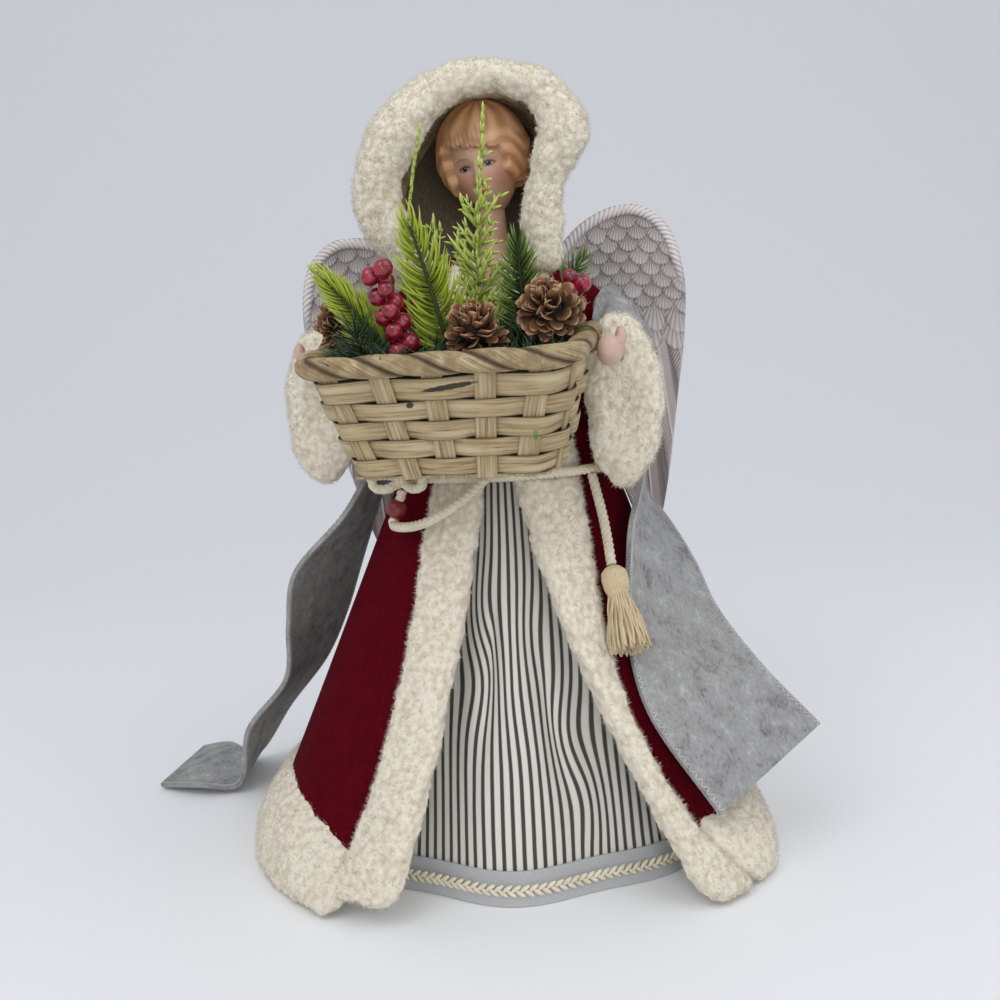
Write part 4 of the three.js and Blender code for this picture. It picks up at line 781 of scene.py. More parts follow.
def sleeveRun(arm, v):
    start = np.array([arm["sign"] * (cuffs["start"] - 16), 0, sizes["shoulder"] + 2])
    end = np.array(arm["cuff"]) + (0, 0.95 * cuffs["deep"] + sizes["gap"], 0)
    t = v[:, None]
    centre = (1 - t) ** 2 * start + 2 * t * (1 - t) * np.array(arm["elbow"]) + t * t * end
    ahead = unit(np.stack([arm["sign"] * (1 - v), -v, 0 * v], -1))
    wide = cuffs["armhole"] + (cuffs["wide"] - 2 - cuffs["armhole"]) * v
    high = cuffs["armhole"] + (cuffs["high"] * arm["drop"] - 3 - cuffs["armhole"]) * v * v
    return centre, np.cross(ahead, (0, 0, 1)), wide, high


def sleeveRing(arm, v, turn, swell):
    centre, side, wide, high = sleeveRun(arm, v)
    up = np.stack([0 * v, 0 * v, (high + swell) * np.sin(turn)], -1)
    return centre + side * ((wide + swell) * np.cos(turn))[:, None] + up


for name, arm in arms.items():
    def sleevePlace(u, v, arm=arm):
        turn = u * fullTurn
        crease = 0.7 * np.sin(5 * turn + 9 * v) * v * (1 - v) * 4
        return sleeveRing(arm, v, turn, crease - cuffs["cloth"] / 2)

    sleeve = thicken(weld(gridPiece(name + "Sleeve", 60, 48, sleevePlace)), cuffs["cloth"])
    seat(sleeve, "figure", "coat_felt", crimsonFelt, name + "_sleeve")

hoodRim = splinePoints([
    (-44, -31, 311), (-56, -33, 331), (-54, -36, 353), (-41, -38, 373), (-20, -38, 389), (4, -36, 393),
    (27, -36, 385), (37, -36, 367), (30, -36, 350), (25, -34, 334), (25, -34, 311),
], 24)
hood = {
    "cloth": 3.0, "roll": 12, "depth": 62, "neck": 42, "seam": 356, "foot": 311, "middle": -7, "face": -36,
    "behind": 4.2, "reach": 0.12, "forward": 12.5, "drop": 4.5, "dropFrom": 325, "dropOver": 14,
    "facing": 2.6, "rows": 300,
}


def hoodPlace(u, v):
    edge = atShare(hoodRim, u)
    front = np.clip(1 - v / hood["reach"], 0, 1)
    v = np.clip((v - hood["reach"]) / (1 - hood["reach"]), 0, 1)
    rise = np.sin(u * math.pi) ** 0.6
    turn = v * math.pi / 2
    inward = np.clip(np.cos(turn), 0, 1) ** 0.75
    backward = np.sin(turn) ** 0.85
    seamZ = hood["foot"] + (hood["seam"] - hood["foot"]) * rise
    depth = hood["neck"] + (hood["depth"] - hood["neck"]) * rise
    x = hood["middle"] + (edge[:, 0] - hood["middle"]) * inward
    y = hood["face"] + hood["roll"] + hood["behind"] + depth * backward - hood["forward"] * front
    z = edge[:, 2] + (seamZ - edge[:, 2]) * v ** 2.6
    down = hood["drop"] * np.clip((hood["dropFrom"] - z) / hood["dropOver"], 0, 1)
    return np.stack([x, y, z - down], -1)


hoodShell = thicken(weld(gridPiece("hood", 80, 46, hoodPlace)), hood["cloth"])
seat(hoodShell, "figure", "coat_felt", [crimsonFelt, lining], "hood")
for face in hoodShell.data.polygons:
    face.material_index = int(face.normal.dot(Vector((hood["middle"] * mm, 0.005, 0.345)) - face.center) > 0)
print("coat made")

# fleece: rolls and lobes swollen into curls
curls = bpy.data.textures.new("curls", "VORONOI")
curls.noise_scale = 0.0037
lumps = bpy.data.textures.new("lumps", "CLOUDS")
lumps.noise_scale = 0.011
lumps.noise_depth = 1
fleeceLook = {"curl": -1.55, "lump": 2.6, "floor": 0.3}
fuzzLook = {"long": 2.7, "sunk": 0.4, "floor": 0.2}
fuzzCounts = {"front": 22000, "hem": 38000, "hood": 24000, "cuff": 10000}


def swollen(piece, texture, strength, middle):
    applied(piece, "DISPLACE", texture=texture, texture_coords="LOCAL", strength=strength, mid_level=middle)


def aboveFloor(points, least):
    return np.stack([points[:, 0], points[:, 1], np.maximum(points[:, 2], least * mm)], -1)


def nubble(piece, share=1.0):
    swollen(piece, lumps, fleeceLook["lump"] * share * mm, 0.5)
    before = readPoints(piece)
    normals = np.zeros(len(before) * 3)
    piece.data.vertices.foreach_get("normal", normals)
    swollen(piece, curls, fleeceLook["curl"] * share * mm, 0.45)
    after = readPoints(piece)
    rise = ((after - before) * normals.reshape(-1, 3)).sum(1) / mm
    writePoints(piece, aboveFloor(after, fleeceLook["floor"]))
    # the nub value, low in the creases, is where the fleece finish paints shade
    low, high = np.percentile(rise, (4, 94))
    holdValue(piece, "nub", np.clip((rise - low) / (high - low), 0, 1))
    only(piece)
    bpy.ops.object.shade_smooth()
    return piece


# short hairs that stand off the fleece
hair = primitive("cone", vertices=3, radius1=0.05, radius2=0, depth=1)
writePoints(hair, readPoints(hair) + (0, 0, 0.5))


def fuzzOn(piece, count, node):
    chance = np.random.default_rng(count)
    faces = piece.data.polygons
    centre, normal, area = np.zeros(len(faces) * 3), np.zeros(len(faces) * 3), np.zeros(len(faces))
    faces.foreach_get("center", centre)
    faces.foreach_get("normal", normal)
    faces.foreach_get("area", area)
    centre, normal = centre.reshape(-1, 3), normal.reshape(-1, 3)
    outward = unit(centre * (1, 1, 0))
    weight = area * np.clip((normal * outward).sum(1) + 0.6, 0.05, 1)
    places = []
    for k in chance.choice(len(faces), count, p=weight / weight.sum()):
        aim = normal[k] + chance.normal(0, 0.55, 3)
        size = fuzzLook["long"] * chance.uniform(0.4, 1.2) * mm
        root = centre[k] - normal[k] * fuzzLook["sunk"] * mm
        places.append(placed(root, aim, (0.3, 0.5, 0.8), (size, size, size)))
    fuzz = copyAll(piece.name + "Fuzz", hair, places, nub=np.ones(len(hair.data.vertices)))
    writePoints(fuzz, aboveFloor(readPoints(fuzz), fuzzLook["floor"]))
    return seat(fuzz, "figure", "fleece", fleece, node)


def borderPiece(name, frontEdge, backEdge, raised):
    top = sizes["collar"] - 1.0

    def place(u, v):
        z = 1.2 + v * (top - 1.2)
        inner, outer = borderAngle(frontEdge, z), borderAngle(backEdge, z)
        middle = (inner + outer) / 2
        end = np.clip(np.minimum(v / 0.035, (1 - v) / 0.03), 0, 1)
        rounded = np.sqrt(1 - (1 - end) ** 2)
        half = np.abs(outer - inner) / 2 * (0.35 + 0.65 * rounded) * (end > 0)
        share = 2 * np.where(u < 0.5, 2 * u, 2 * u - 1) - 1
        lean = np.sign(share) * math.pi / 2 * share ** 2
        turn = np.where(u < 0.5, math.pi / 2, -math.pi / 2) - lean
        angle = middle + half * signedPower(np.cos(turn), 0.5)
        rise = np.where(np.sin(turn) > 0, sizes["out"], sizes["in"]) * np.sin(turn) * rounded
        low = np.clip(1 - z / 90, 0, 1) ** 2
        return around(angle, coatRadius(middle, z) + rise - 0.4 - 0.6 * raised * low, z + raised * low)

    return nubble(weld(gridPiece(name, 104, 300, place)))


for name, raised in (("left", 9), ("right", 0)):
    trim = borderPiece(name + "FrontTrim", name + "Front", name + "Edge", raised)
    seat(trim, "figure", "fleece", fleece, name + "_front_trim")
    fuzzOn(trim, fuzzCounts["front"], name + "_front_trim")


def hemTrimPlace(u, v):
    turn = fullTurn * u
    end = np.clip(np.minimum(v, 1 - v) / 0.012, 0, 1)
    rounded = np.sqrt(1 - (1 - end) ** 2)
    tall = 1 + 0.3 * np.exp(-((v - 0.88) / 0.055) ** 2) - 0.2 * np.exp(-((1 - v) / 0.035) ** 2)
    z = sizes["hemTrim"] / 2 * tall * (1 + np.sin(turn) * (0.3 + 0.7 * rounded) * (end > 0)) + 0.8
    start, finish = borderAngle("rightEdge", z) - 0.03, borderAngle("leftEdge", z) + fullTurn + 0.07
    angle = start + (finish - start) * v
    rise = np.where(np.cos(turn) > 0, sizes["out"], sizes["in"]) * np.cos(turn) * rounded
    return around(angle, coatRadius(angle, z) + rise - 0.4, z)


hemTrim = nubble(weld(gridPiece("hemTrim", 76, 620, hemTrimPlace)))
seat(hemTrim, "figure", "fleece", fleece, "hem_trim")
fuzzOn(hemTrim, fuzzCounts["hem"], "hem_trim")

hoodRoute = Route(np.vstack([(-38, -33, 300), hoodRim[::24], (25, -35, 299)]), perSpan=24)
hoodSwell = [
    (0, 0.75), (0.1, 0.95), (0.3, 1.04), (0.45, 0.76), (0.55, 0.62), (0.64, 0.8), (0.73, 1.06), (0.82, 0.76),
    (0.9, 0.85), (1, 0.7),
]


def hoodTrimPlace(u, v):
    rows = hood["rows"]
    share = np.clip((v * rows - 3) / (rows - 6), 0, 1)
    end = np.clip(np.minimum(v, 1 - v) * rows / 9, 0, 1)
    turn = u * fullTurn
    swell = np.interp(share, *zip(*hoodSwell))
    reach = hood["roll"] * (swell - 0.03 * np.cos(share * 31)) * np.sqrt(1 - (1 - end) ** 2)
    return hoodRoute.ring(share, turn, reach)


hoodTrim = nubble(weld(gridPiece("hoodTrim", 72, hood["rows"], hoodTrimPlace)))
seat(hoodTrim, "figure", "fleece", fleece, "hood_trim")
fuzzOn(hoodTrim, fuzzCounts["hood"], "hood_trim")


# the hood's front is faced with fleece inside, in a darker fleece copy that paints the shade inside the hood
def facingPlace(u, v):
    point = hoodPlace(0.03 + 0.94 * u, 0.03 + 0.42 * v)
    centre = np.stack([0 * u + hood["middle"], point[:, 1] + 6, np.minimum(point[:, 2], 345)], -1)
    inward = unit(centre - point)
    return point + inward * (4.6 - 2.2 * v)[:, None]


facing = nubble(thicken(gridPiece("hoodFacing", 170, 40, facingPlace), hood["facing"]), 0.5)
seat(facing, "figure", "fleece", shadedFacingFleece, "hood_trim")

for name, arm in arms.items():
    def cuffPlace(u, v, arm=arm):
        turn, circle = u * math.pi, v * fullTurn
        swell = 1.06 + 0.05 * np.sin(3 * circle + 1) + 0.04 * np.sin(7 * circle)
        share = np.sin(turn) ** 0.7
        x = cuffs["wide"] * swell * (1 - 0.08 * np.sin(circle)) * share * np.cos(circle)
        z = cuffs["high"] * arm["drop"] * (1 + 0.3 * (swell - 1)) * share * np.sin(circle)
        hollow = 1 - 0.3 * np.exp(-(share / 0.4) ** 2) * (np.cos(turn) > 0)
        y = -1.1 * cuffs["deep"] * hollow * signedPower(np.cos(turn), 0.6)
        return np.stack([x, y, z], -1) + np.array(arm["cuff"])

    cuff = nubble(weld(gridPiece(name + "Cuff", 72, 210, cuffPlace)))
    seat(cuff, "figure", "fleece", fleece, name + "_cuff")
    fuzzOn(cuff, fuzzCounts["cuff"], name + "_cuff")
drop(hair)
print("fleece made")

# felt stole
stoleForm = {"cloth": 2.4, "off": 4.8, "backTop": 236, "backFoot": 207}
stoleTurns = (250, 225, 200, 180, 160, 135, 110)


def stoleBack(degrees, z):
    angle = np.array(math.radians(degrees))
    return around(angle, coatRadius(angle, np.array(float(z))) + stoleForm["off"], float(z))


stoleUpper = splinePoints([
    (-228, 50, 3), (-200, 36, 7), (-176, 36, 6), (-164, 27, 44), (-136, 16, 78), (-130, 6, 112),
    (-123, 0, 142), (-90, -6, 177), (-72, 4, 206),
    *[stoleBack(t, stoleForm["backTop"]) for t in stoleTurns], (75, -4, 208), (68, -34, 186),
    (59.5, -58.5, 168), (56.5, -66.5, 148), (54, -76.5, 122), (59.5, -97, 88), (89, -116, 42),
], 16)
stoleLower = splinePoints([
    (-218, 112, 3), (-196, 100, 9), (-178, 92, 5), (-150, 88, 40), (-122, 76, 74), (-104, 62, 108),
    (-92, 52, 138), (-80, 42, 168), (-70, 30, 190),
    *[stoleBack(t, stoleForm["backFoot"]) for t in stoleTurns], (72, 26, 188), (80, 12, 172),
    (88, -8, 160), (97, -26, 142), (104, -44, 122), (122, -62, 96), (150, -66, 64),
], 16)


def stolePlace(u, v):
    upper, lower = atShare(stoleUpper, u), atShare(stoleLower, u)
    return upper + (lower - upper) * v[:, None]


stole = thicken(gridPiece("feltStole", 420, 28, stolePlace), stoleForm["cloth"])
seat(stole, "figure", "grey_felt", greyFelt, "felt_stole")
print("stole made")


# a fold of the same felt lies over the right forearm
armFold = {"low": -8, "round": 150, "from": 0.3, "run": 0.62, "off": 2.6, "cloth": 2.0}


def armFeltPlace(u, v):
    turn = math.radians(armFold["low"]) + math.radians(armFold["round"]) * u
    ripple = 1.2 * np.sin(9 * u + 5 * v)
    return sleeveRing(arms["right"], armFold["from"] + armFold["run"] * v, turn, armFold["off"] + ripple)


armFelt = thicken(gridPiece("armFelt", 40, 30, armFeltPlace), armFold["cloth"])
seat(armFelt, "figure", "grey_felt", greyFelt, "felt_stole")

# overlock stitches along the stole's edges
stitch = primitive("uv_sphere", segments=6, ring_count=4, radius=1)
places = []
overlock = {"count": 310, "inset": 0.04, "off": 1.35, "wide": 0.42, "thick": 0.3}
for edge, inset in ((0.0, overlock["inset"]), (1.0, -overlock["inset"])):
    for share in np.linspace(0.002, 0.998, overlock["count"]):
        for lean in (-1, 1):
            u = np.array([share, share + 0.0016 * lean, share + 0.004])
            v = np.array([edge, edge + inset, edge + inset * 0.5])
            start, end, ahead = stolePlace(np.clip(u, 0, 1), v)
            out = unit(np.cross(end - start, ahead - start))
            for face in (-1, 1):
                middle = (start + end) / 2 + out * face * overlock["off"]
                size = np.array([overlock["wide"], overlock["thick"], 0.55 * np.linalg.norm(end - start)])
                places.append(placed(middle * mm, end - start, out, size * mm))
seat(copyAll("stoleStitches", stitch, places), "figure", "grey_felt", paleThread, "felt_stole")
drop(stitch)
print("stole stitched")


# wooden, leafy and cast finishes
basketMarks = [
    {"x": -0.0225, "z": 0.2462, "wide": 0.0125, "high": 0.0013, "tone": rgb(20, 18, 18), "share": 0.92},
    {"x": -0.0409, "z": 0.2388, "wide": 0.0018, "high": 0.0014, "tone": rgb(24, 16, 10), "share": 0.9},
    {"x": 0.0130, "z": 0.2235, "wide": 0.0012, "high": 0.0026, "tone": rgb(96, 128, 52), "share": 0.7},
]


def bambooFinish(name, across, aged=0.0, crease=0.42):
    f = Finish(name, 0.62, Specular_IOR_Level=0.35)
    fibre = f.noise(1.0, 4, 0.6, f.stretched(f.cloth(), across))
    streak = f.noise(1.0, 2, 0.5, f.stretched(f.cloth(), tuple(0.3 * c for c in across)))
    tone = f.blend(f.mask(fibre, 0.3, 0.62), rgb(126, 104, 70), rgb(182, 162, 124))
    tone = f.blend(f.mask(streak, 0.45, 0.72), tone, rgb(198, 180, 145))
    tone = f.blend(f.mask(f.noise(70, 3), 0.55, 0.75) * 0.45, tone, rgb(158, 130, 86))
    line = 1 - f.mask(fibre, 0.26, 0.37)
    tone = f.blend(line * 0.8, tone, rgb(84, 62, 36))
    tone = f.blend(f.mask(f.noise(160, 3), 0.35, 0.65) * aged, tone, rgb(112, 84, 50))
    # painted shade: dark brown where the edge value is low, along the weavers' upper and lower edges and in
    # the rim's wrap grooves; crease sets how far it reaches
    tone = f.blend((1 - f.mask(f.held("edge"), 0.0, crease)) * 0.88, tone, rgb(52, 35, 19))
    x, y, z = f.axes(f.place())
    for mark in basketMarks:
        aside = x - mark["x"]
        reach = (aside / mark["wide"]) ** 2 + ((z - mark["z"] - 0.12 * aside) / mark["high"]) ** 2
        blot = 1 - f.mask(reach + 0.9 * (f.noise(500, 3) - 0.5), 0.6, 1.1)
        stain = blot * (1 - f.mask(y, -0.112, -0.108))
        tone = f.blend(stain * mark["share"], tone, mark["tone"])
    f.feed("Base Color", tone)
    f.feed("Normal", f.bump(fibre, 0.0006, 0.55))
    return f.material


def needleFinish(name, root, middle, tip, stem):
    f = Finish(name, 0.5, Specular_IOR_Level=0.4)
    along = f.held("tip")
    vary = f.noise(140, 2)
    tone = f.blend(f.mask(along + 0.5 * (vary - 0.5), 0.05, 0.6), root, middle)
    tone = f.blend(f.mask(along + 0.5 * (vary - 0.5), 0.55, 1.05), tone, tip)
    tone = f.blend(f.mask(along, -0.2, -0.4), tone, stem)
    return f.feed("Base Color", tone).material


def coneFinish():
    f = Finish("pineCone", 0.78)
    along = f.held("tip")
    vary = f.noise(500, 4, 0.65)
    tone = f.blend(f.mask(along + 0.4 * (vary - 0.5), 0.2, 0.8), rgb(44, 24, 13), rgb(124, 84, 54))
    tone = f.blend(f.mask(along + 0.25 * (vary - 0.5), 0.8, 0.98), tone, rgb(190, 154, 116))
    f.feed("Normal", f.bump(vary, 0.0005, 0.5))
    return f.feed("Base Color", tone).material


def berryFinish():
    f = Finish("berry", 0.22, Coat_Weight=0.5, Coat_Roughness=0.12)
    vary = f.noise(260, 3)
    tone = f.blend(f.mask(vary, 0.35, 0.65), rgb(104, 10, 30), rgb(156, 22, 50))
    tone = f.blend(f.mask(f.held("tip"), -0.2, -0.4), tone, rgb(62, 44, 26))
    return f.feed("Base Color", tone).material


def resinFinish():
    f = Finish("castResin", 0.6)
    relief = f.held("relief")
    wear = f.noise(90, 4, 0.6)
    barb = (f.held("barb").fraction() - 0.5).size()
    relief = relief + 0.4 * (0.25 - barb)
    tone = f.blend(f.mask(relief + 0.25 * (wear - 0.5), 0.1, 0.55), rgb(126, 116, 114), rgb(190, 181, 179))
    tone = f.blend(f.mask(relief + 0.35 * (wear - 0.5), 0.55, 0.95), tone, rgb(228, 222, 219))
    f.feed("Normal", f.bump(0.5 * f.noise(900, 4, 0.6) - barb, 0.0005, 0.5))
    return f.feed("Base Color", tone).material


stripBamboo = bambooFinish("bambooStrips", (45, 2400, 1))
stakeBamboo = bambooFinish("bambooStakes", (1700, 40, 1))
rimBamboo = bambooFinish("bambooRim", (50, 1500, 1), aged=0.5, crease=0.62)
lightPine = needleFinish("lightPine", rgb(96, 112, 16), rgb(158, 174, 46), rgb(200, 212, 98), rgb(44, 56, 20))
darkFir = needleFinish("darkFir", rgb(42, 60, 20), rgb(86, 110, 46), rgb(148, 166, 92), rgb(46, 44, 24))
bedGreen = needleFinish("bedGreen", rgb(20, 36, 24), rgb(44, 66, 46), rgb(94, 116, 88), rgb(40, 42, 26))
paleCedar = needleFinish(
    "paleCedar", rgb(122, 136, 48), rgb(176, 190, 88), rgb(214, 220, 138), rgb(142, 154, 64)
)
pineCone = coneFinish()
berry = berryFinish()
resin = resinFinish()
print("hard finishes made")


# basket, modelled upright about the middle of its rim, then tipped and turned
basket = {
    "place": (-22.5, -93, 262), "yaw": -15, "tilt": 10, "rim": (61.5, 32), "base": (47, 23), "high": 54,
    "corner": 12, "rimThick": 5.1, "rows": 5, "top": 7.55, "weaver": 1.0, "stake": 1.2, "stakeWide": 9,
    "sway": 1.35, "wrap": 50, "weaverGrid": (420, 18), "floor": (46, 22), "floorThick": 1.1,
}
basketFrame = np.array(
    Matrix.Translation(basket["place"])
    @ Matrix.Rotation(math.radians(basket["yaw"]), 4, "Z")
    @ Matrix.Rotation(math.radians(basket["tilt"]), 4, "X")
)
basketSides = [((1, 0), (0, -1), 5), ((0, 1), (1, 0), 3), ((-1, 0), (0, 1), 5), ((0, -1), (-1, 0), 3)]
weavePitch = (basket["high"] - basket["floorThick"] - sizes["gap"] - basket["top"]) / basket["rows"]


def tipped(piece):
    points = readPoints(piece) / mm
    writePoints(piece, (points @ basketFrame[:3, :3].T + basketFrame[:3, 3]) * mm)
    return piece


def wallHalves(depth):
    s = depth / basket["high"]
    return [rim + (base - rim) * s for rim, base in zip(basket["rim"], basket["base"])]


def wallPoint(side, shift, outward, depth):
    (ax, ay), (ox, oy), _ = side
    wide, deep = wallHalves(depth)
    reach = abs(ox) * wide + abs(oy) * deep + outward
    return np.stack([ax * shift + ox * reach, ay * shift + oy * reach, 0 * shift - depth], -1)


def stakeShift(side, number, depth):
    (ax, ay), _, count = side
    wide, deep = wallHalves(depth)
    half = abs(ax) * wide + abs(ay) * deep - basket["corner"]
    return (2 * number / (count - 1) - 1) * half * (0.88 if count == 3 else 1)


stakes = []
for side in basketSides:
    for number in range(side[2]):
        def stakePlace(u, v, side=side, number=number):
            depth = 2.0 + v * (basket["high"] - 2.0)
            shift = stakeShift(side, number, depth) + (u - 0.5) * basket["stakeWide"]
            ridge = 0.22 * np.abs(np.sin(u * math.pi * 5)) ** 0.5
            return wallPoint(side, shift, ridge, depth)

        offset = 11.3 * len(stakes)
        stake = gridPiece("stake", 20, 24, stakePlace, lambda u, v, o=offset: (u * 9 + o, v * 54 + o))
        stakes.append(thicken(stake, basket["stake"]))


def floorPlace(u, v):
    wide, deep = basket["floor"]
    z = basket["floorThick"] / 2 - basket["high"]
    return np.stack([(2 * u - 1) * wide, (2 * v - 1) * deep, 0 * u + z], -1)


basketFloor = gridPiece("basketFloor", 20, 12, floorPlace, lambda u, v: (u * 94, v * 46))
stakes.append(thicken(basketFloor, basket["floorThick"]))
basketStakes = joined("basketStakes", stakes)
# the stakes get no painted edge shade
holdAll(basketStakes, "edge", 1.0)
only(basketStakes)
bpy.ops.object.mode_set(mode="EDIT")
bpy.ops.mesh.select_all(action="SELECT")
bpy.ops.mesh.normals_make_consistent(inside=False)
bpy.ops.object.mode_set(mode="OBJECT")
seat(tipped(basketStakes), "basket", "bamboo", stakeBamboo, "basket_stakes")

for row in range(basket["rows"]):
    upper = basket["top"] + row * weavePitch + (0.1 if row else -1.6)
    lower = basket["top"] + (row + 1) * weavePitch - 0.1
    count = row
    stops = []
    for side in basketSides:
        for number in range(side[2]):
            sway = basket["sway"] if count % 2 == 0 else -basket["sway"]
            swell = chance.normal(0, 0.25, 2)
            for edge in (-1, 1):
                stops.append((side, number, edge, sway, swell))
            count += 1

    def edgeLine(depth, which):
        points = []
        for side, number, edge, sway, swell in stops:
            pinch = swell[which] * (0.3 if sway < 0 else 1)
            shift = stakeShift(side, number, depth) + edge * (basket["stakeWide"] / 2 + 0.4)
            points.append(wallPoint(side, np.array(shift), sway, depth + pinch))
        return splinePoints(points, 12, closed=True)

    upperLine, lowerLine = edgeLine(upper, 0), edgeLine(lower, 1)
    middleLine = (upperLine + lowerLine) / 2
    heading = np.roll(middleLine[:-1], -2, axis=0) - np.roll(middleLine[:-1], 2, axis=0)
    outward = unit(np.stack([heading[:, 1], -heading[:, 0], 0 * heading[:, 0]], -1))
    outward = np.vstack([outward, outward[:1]])

    def weaverPlace(u, v):
        turn = v * fullTurn
        across = signedPower(np.cos(turn), 0.35)
        thick = signedPower(np.sin(turn), 0.5) * basket["weaver"] / 2
        share = ((across + 1) / 2)[:, None]
        base = atShare(upperLine, u) * (1 - share) + atShare(lowerLine, u) * share
        cup = 0.16 * (1 - across ** 2)
        return base + atShare(outward, u) * (thick + cup)[:, None]

    columns, rows = basket["weaverGrid"]
    weaver = gridPiece("weaver", columns, rows, weaverPlace,
                       lambda u, v, r=row: (u * 340, (r * 20 + np.cos(v * fullTurn) * 4.3)))
    # edge value is 0 at the weaver's upper and lower edges, where the bamboo finish paints shade
    edgeness = 1 - np.abs(np.cos(np.linspace(0, fullTurn, rows + 1)))
    holdValue(weaver, "edge", np.repeat(np.clip(edgeness, 0, 1), columns + 1))
    weld(weaver)
    weaver.name = f"weaver{row + 1}"
    seat(tipped(weaver), "basket", "bamboo", stripBamboo, f"basket_weaver_{row + 1}")

rimX, rimY = basket["rim"]
rimCorner = basket["corner"]
rimPoints = []
for sx, sy, start in ((1, -1, -90), (1, 1, 0), (-1, 1, 90), (-1, -1, 180)):
    for degrees in (0, 22.5, 45, 67.5, 90):
        a = math.radians(start + degrees)
        x, y = sx * (rimX - rimCorner), sy * (rimY - rimCorner)
        rimPoints.append((x + rimCorner * math.cos(a), y + rimCorner * math.sin(a), 0))
    if sx != sy:
        for share in (0.33, 0.67):
            rimPoints.append((sx * rimX, sy * (rimY - rimCorner) * (1 - 2 * share), 0))
    else:
        for share in (0.2, 0.4, 0.6, 0.8):
            rimPoints.append((sx * (rimX - rimCorner) * (1 - 2 * share), sy * rimY, 0))
rimRoute = Route(rimPoints, closed=True, perSpan=12)
rimTurns = round(rimRoute.length / basket["wrap"])
rimEdge = {}


def rimPlace(u, v):
    turn = u * fullTurn
    twist = turn - v * rimTurns * fullTurn
    lobe = np.abs(np.sin(twist))
    fine = 0.03 * np.sin(twist * 16)
    reach = basket["rimThick"] * (0.72 + 0.3 * lobe ** 0.4 + fine * lobe)
    rimEdge["value"] = lobe
    return rimRoute.ring(v, turn, reach)


rim = gridPiece("basketRim", 96, 420, rimPlace, lambda u, v: (v * 340, u * 33 - v * rimTurns * 33))
# the lobe is 0 in the wrap's grooves, where the bamboo finish paints shade
holdValue(rim, "edge", rimEdge["value"])
weld(rim)
seat(tipped(rim), "basket", "bamboo", rimBamboo, "basket_rim")
print("basket woven")


# greenery
def needleShape(name, radius, bend, knobs=0):
    def place(u, v):
        turn = u * fullTurn
        swell = np.clip((0.55 + 0.45 * np.sin(v * math.pi)) * (1 - v ** 4), 0.04, 1)
        reach = radius * swell * np.where(v < 0.01, 0.6, 1)
        if knobs:
            reach = reach * (0.8 + 0.4 * np.abs(np.sin(knobs * math.pi * v)))
        return np.stack([reach * np.cos(turn), reach * np.sin(turn) * 0.7 - bend * v * v, v], -1) / mm

    rows = max(4, 3 * knobs)
    return weld(gridPiece(name, 5, rows, place))


def along(shape):
    return np.clip(readPoints(shape)[:, 2], 0, 1)


pineNeedle = needleShape("pineNeedle", 0.046, 0.3)
firNeedle = needleShape("firNeedle", 0.052, 0.14)
cedarTwig = needleShape("cedarTwig", 0.2, 0.05, 2)
foot = -7.65


def bowed(base, tip, bow):
    base, tip = np.array(base, float), np.array(tip, float)
    middle = (base + tip) / 2 + np.array(bow)
    t = np.linspace(0, 1, 9)[:, None]
    return Route((1 - t) ** 2 * base + 2 * t * (1 - t) * middle + t * t * tip, perSpan=6)


def needlesOn(route, count, length, spread, start, end=0.99, fat=1.0, flat=0.0, taper=0.3):
    places = []
    for k in range(count):
        share = start + (end - start) * (k + chance.random()) / count
        ahead, side, other = [d[0] for d in route.frames(np.array([share]))]
        turn = k * goldenTurn + chance.normal(0, 0.2)
        across = side * math.cos(turn) + other * math.sin(turn)
        if flat:
            across = np.cross(ahead, (0, 1, 0)) * (1 if k % 2 else -1)
            across = across + np.array([0, (1 - flat) * math.sin(turn), 0])
        across = unit(across)
        lean = spread * (1 - 0.6 * share ** 4) + chance.normal(0, 0.09)
        aim = ahead * math.cos(lean) + across * math.sin(lean)
        long = length * (1 - taper * share ** 2) * chance.uniform(0.85, 1.12)
        root = route.at(np.array([share]))[0]
        places.append(placed(root * mm, aim, ahead, np.array([fat, fat, 1]) * long * mm))
    return places


def sprigPiece(name, route, stem, groups, material, slot, node):
    parts = [tubePiece(name + "Stem", route, lambda t, _: stem * (1 - 0.55 * t))]
    holdAll(parts[0], "tip", -1.0)
    for number, (shape, places) in enumerate(groups):
        parts.append(copyAll(name + str(number), shape, places, tip=along(shape)))
    return seat(tipped(joined(name, parts)), "basket", slot, material, node)


